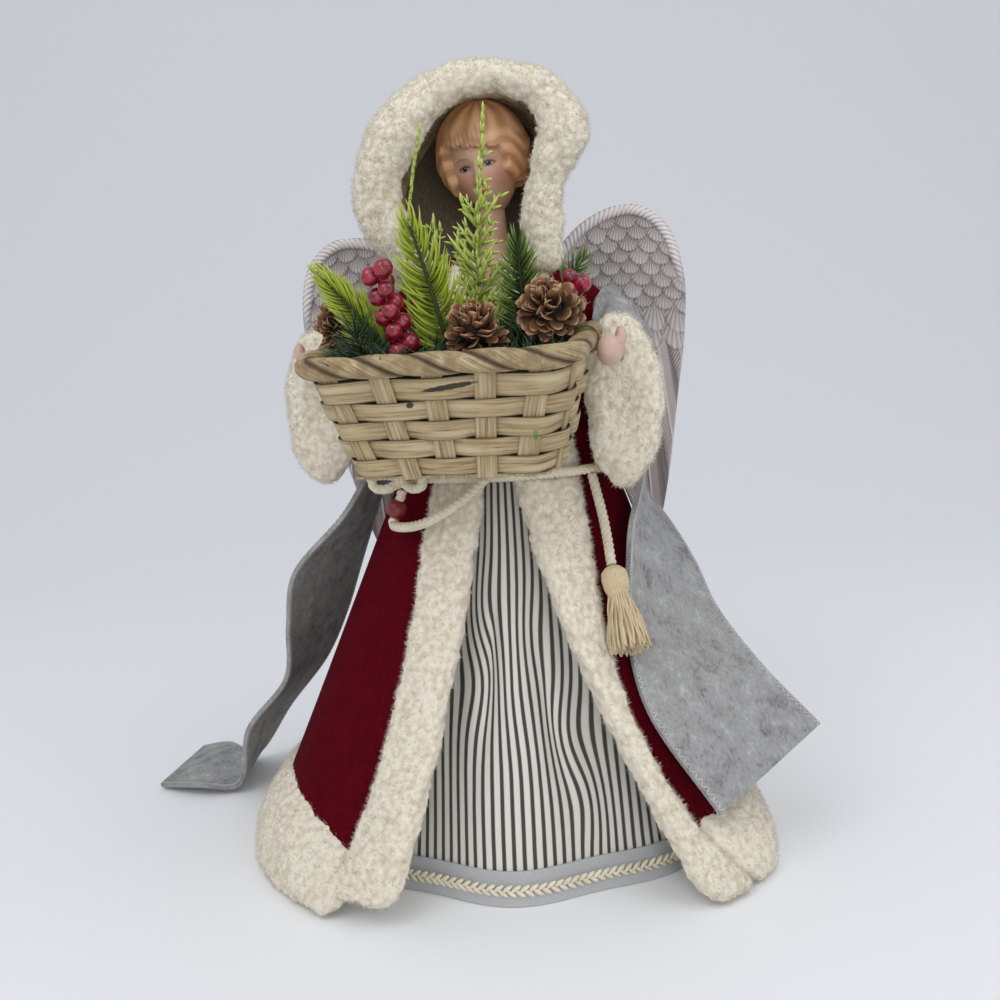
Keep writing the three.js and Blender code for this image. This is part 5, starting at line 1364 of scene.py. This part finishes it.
leftRoute = bowed((-26, 0, foot), (-54, -5, 36), (-2, 0, 6))
tallRoute = bowed((2, -4, foot), (-10, -6, 56), (2, -2, 0))
midRoute = bowed((33, 9, foot), (34, 8, 44), (0, 0, 0))
rightRoute = bowed((42, 20, foot), (60, 24, 34), (-4, 0, 6))
sprigs = [
    {"name": "pineLeft", "route": leftRoute, "stem": 1.4, "shape": pineNeedle, "finish": lightPine,
     "slot": "light_green", "node": "pine_sprig_left",
     "needles": {"count": 170, "length": 17, "spread": 1.05, "start": 0.15, "fat": 1.45, "flat": 0.3,
                 "taper": 0.4}},
    {"name": "pineTall", "route": tallRoute, "stem": 1.5, "shape": pineNeedle, "finish": lightPine,
     "slot": "light_green", "node": "pine_sprig_tall",
     "needles": {"count": 104, "length": 20.5, "spread": 1.2, "start": 0.06, "fat": 1.5, "flat": 0.65,
                 "taper": 0.45}},
    {"name": "firMiddle", "route": midRoute, "stem": 1.4, "shape": firNeedle, "finish": darkFir,
     "slot": "dark_green", "node": "fir_sprig_middle",
     "needles": {"count": 180, "length": 17, "spread": 1.15, "start": 0.08, "fat": 1.3, "flat": 0.25,
                 "taper": 0.5}},
    {"name": "firRight", "route": rightRoute, "stem": 1.3, "shape": firNeedle, "finish": darkFir,
     "slot": "dark_green", "node": "fir_sprig_right",
     "needles": {"count": 64, "length": 15, "spread": 1.1, "start": 0.2, "fat": 1.25, "taper": 0.4}},
]
for sprig in sprigs:
    groups = [(sprig["shape"], needlesOn(sprig["route"], **sprig["needles"]))]
    sprigPiece(sprig["name"], sprig["route"], sprig["stem"], groups, sprig["finish"], sprig["slot"],
               sprig["node"])

# cedar: scaly shoots off a spire, bushy low down
chance = np.random.default_rng(9)
cedarRoute = bowed((8, 14, foot), (22, 19, 102), (-3, 2, 0))
cedarSpurs = [
    (cedarRoute, 16, 0.1, 0.42, 17), (cedarRoute, 8, 0.42, 0.6, 14), (cedarRoute, 5, 0.64, 0.86, 4),
    (bowed((2, 15, foot), (-6, 16, 56), (-4, 0, 0)), 9, 0.35, 0.95, 5),
    (bowed((14, 8, foot), (30, 8, 36), (0, 0, 0)), 9, 0.2, 0.9, 8),
]
cedarPlaces = []
for spine, count, low, high, reach in cedarSpurs:
    for k in range(count):
        share = low + (high - low) * (k + chance.random()) / count
        ahead = spine.frames(np.array([share]))[0][0]
        across = np.array([1 if k % 2 else -1, chance.normal(0, 0.5), 0])
        aim = ahead * 0.8 + unit(across) * 0.6
        long = reach * chance.uniform(0.7, 1.3)
        root = spine.at(np.array([share]))[0]
        shoot = np.array([0.7, 0.7, 1 / 0.62]) * 6 * mm * (long / 9)
        cedarPlaces.append(placed(root * mm, aim, ahead, shoot))
        twins = int(long / 3.1)
        for twin in range(twins):
            spot = root + aim * long * (0.2 + 0.8 * twin / twins)
            aside = np.cross(aim, (0, 1, 0)) * (0.6 if twin % 2 else -0.6)
            tilt = aim * 0.8 + aside + chance.normal(0, 0.15, 3)
            size = np.array([1, 1, 1]) * chance.uniform(4, 6.4) * mm
            cedarPlaces.append(placed(spot * mm, tilt, ahead, size))
    for k in range(26):
        share = 0.08 + 0.92 * k / 26
        root = spine.at(np.array([share]))[0]
        ahead = spine.frames(np.array([share]))[0][0] + chance.normal(0, 0.12, 3)
        cedarPlaces.append(placed(root * mm, ahead, (0, 1, 0.1), np.array([0.75, 0.75, 1.1]) * 5.5 * mm))
sprigPiece("cedar", cedarRoute, 0.8, [(cedarTwig, cedarPlaces)], paleCedar, "cedar_green", "cedar_sprig")
twigRoute = bowed((-22, 12, foot), (-7, 15, 96), (-10, 0, 0))
twigPlaces = []
for k in range(34):
    share = np.array([0.06 + 0.94 * k / 34])
    ahead = twigRoute.frames(share)[0][0] + chance.normal(0, 0.06, 3)
    root = twigRoute.at(share)[0]
    twigPlaces.append(placed(root * mm, ahead, (0, 1, 0.1), np.array([0.8, 0.8, 1]) * 5.5 * mm))
sprigPiece("paleTwig", twigRoute, 0.7, [(cedarTwig, twigPlaces)], paleCedar, "cedar_green", "bare_twig")

# dark needles that cover the foam
tuftRoute = bowed((-37, -14, foot), (-38, -17, 14), (0, 0, 2))
beds = [
    {"count": 420, "x": (-50, 50), "y": (-26, 26), "z": -8.5, "rise": (0.25, 1.0), "long": (9, 16)},
    {"count": 150, "x": (-46, 0), "y": (-27, -8), "z": -3, "rise": (0.15, 0.8), "long": (13, 20)},
    {"count": 260, "x": (-34, 50), "y": (-6, 25), "z": -6, "rise": (1.0, 3.0), "long": (16, 25)},
    {"count": 60, "x": (24, 52), "y": (-24, -4), "z": -5, "rise": (0.3, 1.0), "long": (10, 16)},
]
bedPlaces = []
for bed in beds:
    for k in range(bed["count"]):
        spot = np.array([chance.uniform(*bed["x"]), chance.uniform(*bed["y"]), bed["z"]])
        turn = chance.uniform(0, fullTurn)
        aim = unit(np.array([math.cos(turn), math.sin(turn) * 0.6, chance.uniform(*bed["rise"])]))
        long = chance.uniform(*bed["long"])
        room = np.array([56.0, 29.0]) - np.abs(spot[:2] + aim[:2] * long)
        aim[:2] *= 0.3 if room.min() < 0 and bed["z"] < -4 else 1
        bedPlaces.append(placed(spot * mm, aim, (0, 0, 1), np.array([0.6, 0.6, 1]) * long * mm))
tuftPlaces = needlesOn(tuftRoute, 46, 19, 1.15, 0.1, fat=0.65)
spray = bowed((46, 2, foot), (57, -2, 15), (0, 0, 2))
tuftPlaces += needlesOn(spray, 60, 14, 0.8, 0.25, fat=0.6)
bedNeedles = [(firNeedle, bedPlaces + tuftPlaces)]
sprigPiece("needleBed", tuftRoute, 1.2, bedNeedles, bedGreen, "dark_green", "needle_tuft_left")

# cones: one scale, copied round an egg of a core
scale = primitive("uv_sphere", segments=10, ring_count=6, radius=1)
points = readPoints(scale)
far = (points[:, 2] + 1) / 2
spread = 0.13 + 0.3 * np.sin(far * math.pi * 0.66) ** 1.5
bowl = 0.26 * far ** 2.5 + 0.25 * (points[:, 0] * spread / 0.4) ** 2 * far
writePoints(scale, np.stack([points[:, 0] * spread, points[:, 1] * 0.045 - bowl, far], -1))
cones = {
    "pine_cone_left": {"at": (-56, 5, 16), "size": 10.2, "lean": 0.5, "foot": (-47, 6)},
    "pine_cone_middle": {"at": (17, -18, 13), "size": 12.8, "lean": 0.35, "foot": (17, -14)},
    "pine_cone_right": {"at": (48, -6, 18), "size": 13.4, "lean": 0.7, "foot": (45, -6)},
}
scaleCount = 112
chance = np.random.default_rng(5)
for node, cone in cones.items():
    size = cone["size"]
    places = []
    for k in range(scaleCount):
        t = (k + 0.5) / scaleCount
        turn = k * goldenTurn + chance.normal(0, 0.3)
        out = np.array([math.cos(turn), math.sin(turn), 0])
        rise = math.radians(-36 + 118 * t ** 1.5) + chance.normal(0, 0.3)
        aim = out * math.cos(rise) + np.array([0, 0, math.sin(rise)])
        root = np.array([0, 0, size * (-0.8 + 1.15 * t)]) + out * size * 0.3 * math.sqrt(max(0, 1 - t ** 2))
        long = size * (0.62 + 0.2 * math.sin(math.pi * t) - 0.2 * t ** 3) * chance.uniform(0.72, 1.2)
        tilt = np.array([0, 0, 1]) + chance.normal(0, 0.45, 3)
        places.append(placed(root * mm, aim, tilt, np.array([0.85, 1, 1]) * long * mm))
    spin = np.array(Matrix.Rotation(cone["lean"], 4, "X"))
    spin[:3, 3] = np.array(cone["at"]) * mm
    scales = copyAll("scales", scale, [spin @ place for place in places], tip=far)
    core = Route([(0, 0, -0.8 * size), (0, 0, -0.1 * size), (0, 0, 0.42 * size)])
    core.line = core.line @ spin[:3, :3].T + np.array(cone["at"])
    core = Route(core.line[::8])

    def coreRadius(t, _, size=size):
        return 0.42 * size * np.sqrt(np.clip(1 - (2 * t - 1) ** 2, 0.05, 1))

    middle = tubePiece("core", core, coreRadius, 10)
    pegFoot, pegTop = np.array([*cone["foot"], foot]), np.array(cone["at"])
    peg = tubePiece("peg", Route([pegFoot, pegTop * 0.5 + pegFoot * 0.5, pegTop]), lambda t, _: 1.2 + 0 * t)
    for part in (middle, peg):
        holdAll(part, "tip", 0.0)
    piece = joined(node.replace("_", ""), [scales, middle, peg])
    seat(tipped(piece), "basket", "pine_cone", pineCone, node)
drop(scale)

# berries on their stalks
ball = primitive("uv_sphere", segments=16, ring_count=10, radius=1)
points = readPoints(ball)
dimple = 0.14 * np.exp(-((1 - points[:, 2]) / 0.05) ** 1)
writePoints(ball, points * (1 - dimple)[:, None])
shade = np.where(points[:, 2] > 0.97, -0.3, 1.0)
bunches = {
    "berries_left": {"base": (-16, -13, foot), "tip": (-24, -16, 40), "count": 15, "size": 4.4, "low": 0.1},
    "berries_right": {"base": (47, 10, foot), "tip": (58, 10, 27), "count": 5, "size": 4.1, "low": 0.66},
}
for node, bunch in bunches.items():
    stalk = bowed(bunch["base"], bunch["tip"], (0, 0, 0))
    places = []
    for k in range(bunch["count"]):
        share = bunch["low"] + (1 - bunch["low"]) * k / (bunch["count"] - 1)
        turn = k * 2.2
        out = np.array([math.cos(turn), 0.8 * math.sin(turn), 0])
        size = bunch["size"] * chance.uniform(0.86, 1.06)
        spot = stalk.at(np.array([share]))[0] + out * size * 0.95
        aim = out + (0, -0.2, chance.normal(0, 0.4))
        places.append(placed(spot * mm, aim, (0, 0, 1), np.array([1, 1, 1]) * size * mm))
    parts = [copyAll("berry", ball, places, tip=shade), tubePiece("stalk", stalk, lambda t, _: 0.8 + 0 * t)]
    holdAll(parts[1], "tip", -1.0)
    seat(tipped(joined(node.replace("_", ""), parts)), "basket", "berry", berry, node)
for shape in (ball, pineNeedle, firNeedle, cedarTwig):
    drop(shape)
print("basket filled")

# cast wings: a plate with ridge, scallops and long feathers
wings = {
    "front": 60, "back": 64, "tilt": -3.5, "pivot": 250, "top": 335.2, "foot": 136, "vane": 6.2, "barb": 2.3,
    "shafts": (30, 43, 56, 69, 81.5, 93.5, 105), "leans": (0.10, 0.07, 0.05, 0.03, 0.0, -0.06, -0.14),
    "longTop": 262, "ridgeFoot": 264, "ridgeFade": 38, "ridgeHigh": 2.9, "tabIn": 5, "tabLong": 26,
    "frontShare": 0.72,
}
scallopRows = [(264, 14, 26, 4.6), (273, 13.4, 22, 4.2)]  # level, width, length, barbs
scallopRows += [(281 + 6.6 * k, 11.8, 13.6, 4.2) for k in range(8)]
wingOutline = splinePoints([
    (27, 0, 264), (28, 0, 288), (42, 0, 315), (63, 0, 331), (88, 0, 335), (106, 0, 322), (114, 0, 292),
    (111, 0, 256), (104, 0, 222), (98, 0, 192), (92, 0, 166), (86, 0, 146), (81, 0, 136),
], 24)
innerOutline = splinePoints([
    (81, 0, 136), (72, 0, 150), (62, 0, 180), (50, 0, 210), (38, 0, 230), (27, 0, 238),
], 24)
peak = int(np.argmax(wingOutline[:, 2]))
nearSide = np.vstack([innerOutline, wingOutline[:peak + 1]])
farSide = wingOutline[peak:][::-1]
leading = Route(wingOutline[8:160:12], perSpan=12)


def ridgeAt(x, z):
    line = leading.line
    near = np.full(len(x), 1e9)
    run = np.zeros(len(x))
    for k in range(len(line) - 1):
        step = unit(line[k + 1] - line[k])
        d = np.hypot(x - line[k, 0], z - line[k, 2])
        closer = d < near
        near = np.where(closer, d, near)
        here = leading.run[k] + (x - line[k, 0]) * step[0] + (z - line[k, 2]) * step[2]
        run = np.where(closer, here, run)
    return near, run


def wingHeight(x, z):
    fall = np.maximum(wings["longTop"] - z, 0)
    offsets = x[:, None] - (np.array(wings["shafts"]) - np.array(wings["leans"]) * fall[:, None])
    which = np.argmin(np.abs(offsets), 1)
    dx = offsets[np.arange(len(x)), which]
    vane = np.clip(1 - np.abs(dx / wings["vane"]) ** 5, 0, 1)
    barb = (z + 1.2 * np.abs(dx)) / wings["barb"]
    comb = -0.28 * np.cos(fullTurn * barb) * np.clip(np.abs(dx) - 0.5, 0, 1)
    shaft = 0.8 * np.exp(-(dx / 0.6) ** 2)
    height = 0.5 + (0.9 + comb) * vane + shaft + 0.25 * (which % 2)
    for number, (level, wide, long, barbs) in enumerate(scallopRows):
        level = level - 0.0035 * (x - 68) ** 2
        shifted = x / wide + 0.5 * (number % 2)
        dx = (shifted - np.floor(shifted) - 0.5) * wide
        below = level - z
        lot = np.sin((np.floor(shifted) * 5.3 + number * 17.1) * 12.9898) * 437.58
        lot = lot - np.floor(lot)
        tipDrop = long * (0.36 + 0.14 * lot) * np.clip(1 - np.abs(2 * dx / wide) ** 2.6, 0, 1) ** 0.6
        cover = below < tipDrop
        depth = np.clip((below + long * 0.3) / (long * 0.8), 0, 1)
        dome = 1 - 0.5 * np.abs(2 * dx / wide) ** 3
        fan = np.arctan2(dx - 2 * lot, np.maximum(long * 0.4 + below, 0.5) + 2) * barbs * 9
        edge = np.clip((tipDrop - below) / 0.5, 0, 1)
        scallop = 0.8 + 0.25 * lot + 1.0 * depth * dome + 0.2 * np.sin(fan) * (0.3 + 0.7 * depth)
        height = np.where(cover, scallop * (0.35 + 0.65 * edge), height)
        barb = np.where(cover, fan / fullTurn + 0.25, barb)
    near, run = ridgeAt(x, z)
    fade = np.clip((z - wings["ridgeFoot"]) / wings["ridgeFade"], 0, 1)
    reach = 0.1 + 3.5 * fade
    slant = run * 1.9 + near * 1.5
    groove = 0.38 * np.sin(slant)
    arch = np.sqrt(np.clip(1 - ((near - 0.9 * reach) / reach) ** 2, 0, 1))
    bank = fade * (wings["ridgeHigh"] * arch + groove)
    isBank = (near < 1.8 * reach) & (bank > height)
    return np.where(isBank, bank, height), np.where(isBank, slant / fullTurn + 0.25, barb)


def wingTilted(points):
    pivot = (0, 0, wings["pivot"])
    turn = np.array(Matrix.Rotation(math.radians(wings["tilt"]), 3, "Y"))
    return (points - pivot) @ turn.T + pivot


def wingPiece(name, sign):
    relief = {}

    def place(u, v):
        z = wings["foot"] + (wings["top"] - wings["foot"]) * (1 - (1 - v) ** 1.35)
        low = np.interp(z, nearSide[:, 2], nearSide[:, 0])
        high = np.interp(z, farSide[:, 2], farSide[:, 0])
        ahead = wings["frontShare"]
        isFront = (u <= ahead) | (u > 0.9999)
        share = np.clip(np.where(u <= ahead, u / ahead, (1 - u) / (1 - ahead)), 0, 1)
        x = low + (high - low) * share
        height, relief["barb"] = wingHeight(x, z)
        rounding = np.sqrt(np.clip(np.minimum(share, 1 - share) * (high - low) / 1.2, 0, 1))
        topRound = np.sqrt(np.clip((wings["top"] - z) / 1.0, 0, 1))
        lift = height * rounding * topRound
        y = np.where(isFront, wings["front"] + 0.6 - lift, wings["back"] - 0.5 + 0.45 * lift)
        relief["value"] = np.clip(height / 2.6 - 0.15, 0, 1)
        return wingTilted(np.stack([sign * x, y, z], -1))

    piece = gridPiece(name, 200, 270, place)
    holdValue(piece, "relief", relief["value"])
    holdValue(piece, "barb", relief["barb"])
    weld(piece)
    tab = primitive("cube", size=1)
    corners = readPoints(tab)
    isOuter, isLow = corners[:, 0] > 0, corners[:, 2] < 0
    tabHalf = np.where(isOuter, np.where(isLow, 12, 14), 9)
    shape = np.stack([
        sign * (wings["tabIn"] + wings["tabLong"] * (corners[:, 0] + 0.5)),
        wings["front"] + (wings["back"] - wings["front"]) * (corners[:, 1] + 0.5),
        wings["pivot"] + tabHalf * np.sign(corners[:, 2]),
    ], -1)
    writePoints(tab, wingTilted(shape) * mm)
    applied(tab, "BEVEL", width=0.6 * mm, segments=2)
    holdAll(tab, "relief", 0.4)
    holdAll(tab, "barb", 0.25)
    weld(tab)
    return joined(name, [piece, tab])


for name, sign in (("right", 1), ("left", -1)):
    seat(wingPiece(name + "Wing", sign), "figure", "resin", resin, name + "_wing")
print("wings cast")


# porcelain: head with painted face, moulded hair, hands
head = {"centre": (-3, -3, 362.3), "turn": -17, "tip": -9.5, "wide": 18.6, "deep": 20, "high": 28,
        "lift": 1.2}


# painted spots: place across and up, half width and height, softness, share, tone
faceSpots = {
    "cheek": (9.5, -16.5, 6, 5, 0.95, 0.4, rgb(206, 128, 110)),
    # painted shade in the eye socket, over the moulded hollow
    "eyeHollow": (6.4, -7.8, 4.4, 2.6, 0.9, 0.35, rgb(160, 116, 96)),
    # painted shadow of the upper lid, a dark ring round the eye
    "lidShadow": (6.4, -9.0, 3.5, 1.6, 0.3, 0.8, rgb(96, 64, 52)),
    "eyeWhite": (6.4, -9.3, 2.8, 0.9, 0.25, 1.0, rgb(170, 150, 138)),
    "iris": (6.4, -9.15, 1.45, 1.15, 0.2, 1.0, rgb(30, 18, 13)),
    "glint": (6.0, -8.75, 0.26, 0.26, 0.3, 1.0, rgb(214, 208, 200)),
    # dark dots under the nose: the doll's painted nostrils, partly painted shade under the nose
    "nostril": (1.4, -18.9, 0.75, 0.5, 0.5, 0.7, rgb(142, 88, 74)),
    "lips": (0, -22.6, 3.2, 1.5, 0.45, 0.85, rgb(188, 96, 80)),
}
faceStrokes = {
    "lash": {"top": (6.4, -8.3), "fall": 0.9, "per": 3.4, "thick": (0.12, 0.42), "middle": 6.4,
             "reach": (2.9, 3.8), "share": 0.85, "tone": rgb(52, 34, 28)},
    "brow": {"top": (7.0, -4.6), "fall": 1.3, "per": 5.4, "thick": (0.2, 0.7), "middle": 6.6,
             "reach": (3.0, 4.4), "share": 0.55, "tone": rgb(132, 96, 74)},
    "mouth": {"top": (0, -22.9), "fall": -0.03, "per": 1, "thick": (0.1, 0.4), "middle": 0,
              "reach": (3.4, 4.2), "share": 0.6, "tone": rgb(126, 60, 56)},
}


def bisqueFinish():
    f = Finish("bisque", 0.42, Specular_IOR_Level=0.4)
    x, z, _ = f.axes(f.cloth())
    x, z = x * 1000, z * 1000 - head["lift"]
    side = x.size()
    tone = f.blend(f.mask(f.noise(60, 3), 0.35, 0.7), rgb(202, 163, 140), rgb(216, 182, 158))
    for across, up, wide, high, soft, share, paint in faceSpots.values():
        reach = ((side - across) / wide) ** 2 + ((z - up) / high) ** 2
        tone = f.blend((1 - f.mask(reach, 1 - soft, 1 + soft)) * share, tone, paint)
    for stroke in faceStrokes.values():
        across, up = stroke["top"]
        level = z - up + ((side - across) / stroke["per"]) ** 2 * stroke["fall"]
        line = 1 - f.mask(level.size(), *stroke["thick"])
        line = line * (1 - f.mask((side - stroke["middle"]).size(), *stroke["reach"]))
        tone = f.blend(line * stroke["share"], tone, stroke["tone"])
    return f.feed("Base Color", tone).material


def hairFinish():
    f = Finish("mouldedHair", 0.5, Specular_IOR_Level=0.4)
    groove = f.held("relief")
    vary = f.noise(110, 3)
    tone = f.blend(f.mask(groove + 0.3 * (vary - 0.5), 0.2, 0.8), rgb(196, 144, 103), rgb(230, 182, 140))
    tone = f.blend(f.mask(vary, 0.5, 0.75) * 0.4, tone, rgb(240, 198, 158))
    return f.feed("Base Color", f.blend(f.held("bangs") * 0.7, tone, rgb(150, 116, 90))).material


bisque = bisqueFinish()
auburn = hairFinish()
headTip = Matrix.Rotation(math.radians(head["tip"]), 3, "Y")
headTurn = np.array(headTip @ Matrix.Rotation(math.radians(head["turn"]), 3, "Z"))


# swells of the skin: rise, place across and up, width and height
faceForms = {
    "brow": (0.7, 6, -3.5, 6, 3),
    "eyeHollow": (-2.0, 6.4, -9, 4.2, 3.0),
    "eyeball": (1.35, 6.4, -9.2, 2.7, 1.9),
    "cheek": (0.9, 9.5, -15.5, 4.5, 4.5),
    "nostril": (0.9, 2.5, -17.8, 1.2, 1.3),
    "upperLip": (1.3, 0, -21.6, 4.2, 1.3),
    "lowerLip": (1.4, 0, -24.2, 3.6, 1.4),
    "lipGap": (-0.7, 0, -22.7, 4.2, 0.7),
    "chin": (1.7, 0, -26.6, 4.6, 2.6),
    "mouth": (1.0, 0, -20, 7, 6),
}


def skinLocal(u, v):
    s = 2 * u - 1
    angle = math.pi * s * (0.5 + 0.5 * s * s)
    level = -np.cos(v * math.pi)
    ring = np.sin(v * math.pi)
    jaw = np.where(level < 0, 1 - 0.27 * np.abs(level) ** 2.2, 1)
    x = head["wide"] * ring * np.sin(angle) * jaw
    z = head["high"] * level * np.where(level < 0, 1.1, 1) - 0.5
    frontness = np.clip(np.cos(angle), 0, 1)
    y = -head["deep"] * ring * np.cos(angle) * np.where(level < 0, 1 - 0.1 * level ** 2, 1)
    side = np.abs(x)
    plainZ, z = z, z - head["lift"]
    noseFoot = -18.2
    bridge = np.clip((-6 - z) / 11.5, 0, 1) * (z > noseFoot)
    bridge = bridge + np.clip(1 - (noseFoot - z) / 1.6, 0, 1) * (z <= noseFoot)
    out = (1.2 + 2.6 * bridge) * bridge ** 0.6 * np.exp(-(x / (1.5 + 0.9 * bridge)) ** 2)
    for rise, across, up, wide, high in faceForms.values():
        out = out + rise * swellAt(side, z, across, up, wide, high)
    y = y - out * frontness
    return np.stack([x, y, plainZ], -1)


def headOut(local):
    return local @ headTurn.T + np.array(head["centre"])


def skinPlace(u, v):
    return headOut(skinLocal(u, v))


def skinMap(u, v):
    local = skinLocal(u, v)
    return local[:, 0], local[:, 2]


skin = weld(gridPiece("skin", 150, 130, skinPlace, skinMap))
hairForm = {"wide": 24.6, "deep": 23.6, "high": 28.2, "neckline": -17}
hairRelief = {}


def hairPlace(u, v):
    angle = (2 * u - 1) * math.pi
    level = -np.cos(v * math.pi)
    ring = np.sin(v * math.pi)
    x = hairForm["wide"] * ring * np.sin(angle)
    z = hairForm["high"] * level
    y = -hairForm["deep"] * ring * np.cos(angle)
    flow = np.where(z > 4, np.arctan2(x - 5, y + 10) * 9 + 0.16 * z, 0)
    sides = 0.62 * z + 0.9 * np.sin(0.25 * y + 0.12 * np.abs(x)) * 2.2 + 0.3 * np.abs(x)
    mixIn = np.clip((z - 2) / 8, 0, 1)
    strand = np.sin(flow * 0.9) * mixIn + np.sin(sides * 1.1) * (1 - mixIn)
    fine = 0.35 * np.sin(flow * 5.1 + 0.4 * z) * mixIn + 0.35 * np.sin(sides * 4.6 + 0.3 * y) * (1 - mixIn)
    fringe = 1.0 + 0.5 * np.sin(x * 2.3 + 0.6) + 0.5 * np.sin(x * 0.9 + 1)
    fringe = fringe + 0.02 * (x - 4) ** 2 * (x < 4) - 0.012 * (x + 2) ** 2
    temples = np.clip((16.8 + 0.7 * np.sin(z * 0.6) - np.abs(x + 0.3)) / 1.8, 0, 1)
    inFace = (y < 2) * np.clip((fringe - z) / 1.8, 0, 1) * temples
    neckline = hairForm["neckline"] - 3.5 * np.clip(np.cos(angle + math.pi), 0, 1) + 1.2 * np.sin(angle * 11)
    under = np.clip((neckline - z) / 3, 0, 1)
    puff = 0.035 * np.exp(-((z + 4) / 9) ** 2) * np.abs(np.sin(angle))
    hide = np.maximum(inFace, under)
    hairRelief["value"] = 0.5 + 0.3 * strand + 0.2 * fine
    low, high = 0.5 + 0.8 * np.sin(x * 1.7), 11.5 + 1.6 * np.sin(x * 1.3 + 2)
    stroke = 0.6 + 0.4 * np.sin(x * 2.6 + 0.12 * z)
    inBangs = ramp(z, low - 1, low + 2) * (1 - ramp(z, high - 4, high)) * (1 - ramp(np.abs(x + 1.5), 8, 13))
    hairRelief["bangs"] = (y < 0) * inBangs * stroke
    scale = (1 + puff + 0.011 * strand + 0.004 * fine) * (1 - 0.36 * hide ** 0.8)
    return headOut(np.stack([x * scale, y * scale, z * (scale * 0.4 + 0.6)], -1))


hairShell = gridPiece("hair", 220, 180, hairPlace)
holdValue(hairShell, "relief", hairRelief["value"])
holdValue(hairShell, "bangs", hairRelief["bangs"])
weld(hairShell)


bustForm = {"foot": 293.8, "high": 50, "wide": (24, 22, 13, 9.2, 7.8, 7.6),
            "deep": (17, 15.5, 11, 8.8, 7.6, 7.6)}


def bustPlace(u, v):
    angle = u * fullTurn
    z = bustForm["foot"] + v * bustForm["high"]
    levels = [bustForm["foot"], 298, 304, 310, 318, bustForm["foot"] + bustForm["high"]]
    wide = np.interp(z, levels, bustForm["wide"])
    deep = np.interp(z, levels, bustForm["deep"])
    return around(angle, oval(wide, deep, angle), z) + np.stack([-1.6 * v ** 2, -2.0 * v ** 2, 0 * v], -1)


bust = weld(gridPiece("bust", 48, 40, bustPlace, lambda u, v: (u * 0 + 40, v * 0 + 40)))
for part, material in ((skin, bisque), (hairShell, auburn), (bust, bisque)):
    part.data.materials.clear()
    part.data.materials.append(material)
porcelain = joined("porcelainHead", [skin, hairShell, bust])
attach(porcelain, "figure")
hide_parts("porcelain_head")

handSkin = plainFinish("handBisque", rgb(190, 158, 142), rgb(206, 174, 158), 0.45, 80, 0.0001)
for name, arm in arms.items():
    hand = np.array(arm["hand"])
    wrist = np.array(arm["wrist"])
    sign = arm["sign"]
    lobes = [
        {"at": (0, 0, -1.0), "half": (6.0, 6.6, 6.8)},
        {"at": (-0.8 * sign, -3.6, 0.6), "half": (5.4, 5.6, 6.0)},
        {"at": (5.2 * sign, 0.5, 5.2), "half": (2.7, 3.6, 5.0)},
        {"at": (1.5 * sign, 4.0, 0.5), "half": (4.2, 6.0, 4.4)},
    ]
    parts = []
    for lobe in lobes:
        part = primitive("uv_sphere", segments=24, ring_count=16, radius=1)
        writePoints(part, (readPoints(part) * np.array(lobe["half"]) + hand + lobe["at"]) * mm)
        parts.append(part)
    wristRoute = Route([wrist + (hand - wrist) * 0.03, (hand + wrist) / 2, hand])
    parts.append(tubePiece("wrist", wristRoute, lambda t, _: 2.8 + 1.6 * t, 12))
    handPiece = joined(name + "Hand", parts)
    applied(handPiece, "REMESH", mode="VOXEL", voxel_size=0.55 * mm)
    applied(handPiece, "SMOOTH", factor=0.5, iterations=5)
    only(handPiece)
    bpy.ops.object.shade_smooth()
    seat(handPiece, "figure", "porcelain", handSkin, name + "_hand")
print("porcelain made")

# floor, backdrop and light
stage = {"floor": rgb(244, 245, 247), "reach": 3.0, "flat": 0.7, "bend": 1.6}


def stagePlace(u, v):
    x = (u - 0.5) * 2 * stage["reach"]
    run = v * 7.2 - 3.0
    over = np.maximum(run - stage["flat"], 0)
    turn = np.minimum(over / stage["bend"], math.pi / 2)
    y = np.minimum(run, stage["flat"]) + stage["bend"] * np.sin(turn)
    z = stage["bend"] * (1 - np.cos(turn)) + np.maximum(over - stage["bend"] * math.pi / 2, 0)
    return np.stack([x, y, z - 0.0002], -1) / mm


floor = weld(gridPiece("floor", 4, 80, stagePlace), turn=False)
paper = Finish("paleFloor", 0.9)
paper.shader.inputs["Base Color"].default_value = stage["floor"]
floor.data.materials.append(paper.material)

world = bpy.context.scene.world or bpy.data.worlds.new("World")
bpy.context.scene.world = world
world.use_nodes = True
world.node_tree.nodes["Background"].inputs[0].default_value = (0.92, 0.95, 1.0, 1)
world.node_tree.nodes["Background"].inputs[1].default_value = 0.62
lamps = [
    {"place": (-0.5, -0.9, 1.3), "power": 5.4, "size": 0.9},
    {"place": (0.7, -0.5, 1.1), "power": 3.0, "size": 0.9},
    {"place": (0.1, -1.3, 0.45), "power": 2.2, "size": 0.8},
]
for lamp in lamps:
    bpy.ops.object.light_add(type="AREA", location=lamp["place"])
    light = bpy.context.object
    light.data.energy = lamp["power"]
    light.data.size = lamp["size"]
    light.rotation_mode = "QUATERNION"
    light.rotation_quaternion = (Vector((0, 0, 0.2)) - Vector(lamp["place"])).to_track_quat("-Z", "Y")

# solids that stay: the inner pieces
for node, material in {
    "body_cone": card, "torso": foamWhite, "arm_wire": steelWire, "wing_bracket": foamWhite,
    "right_wing_screw": steelWire, "left_wing_screw": steelWire, "right_tie_wire": tieWire,
    "left_tie_wire": tieWire, "floral_foam": foamGreen,
}.items():
    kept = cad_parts[node]
    kept.data.materials.clear()
    kept.data.materials.append(material)

print("scene ready")
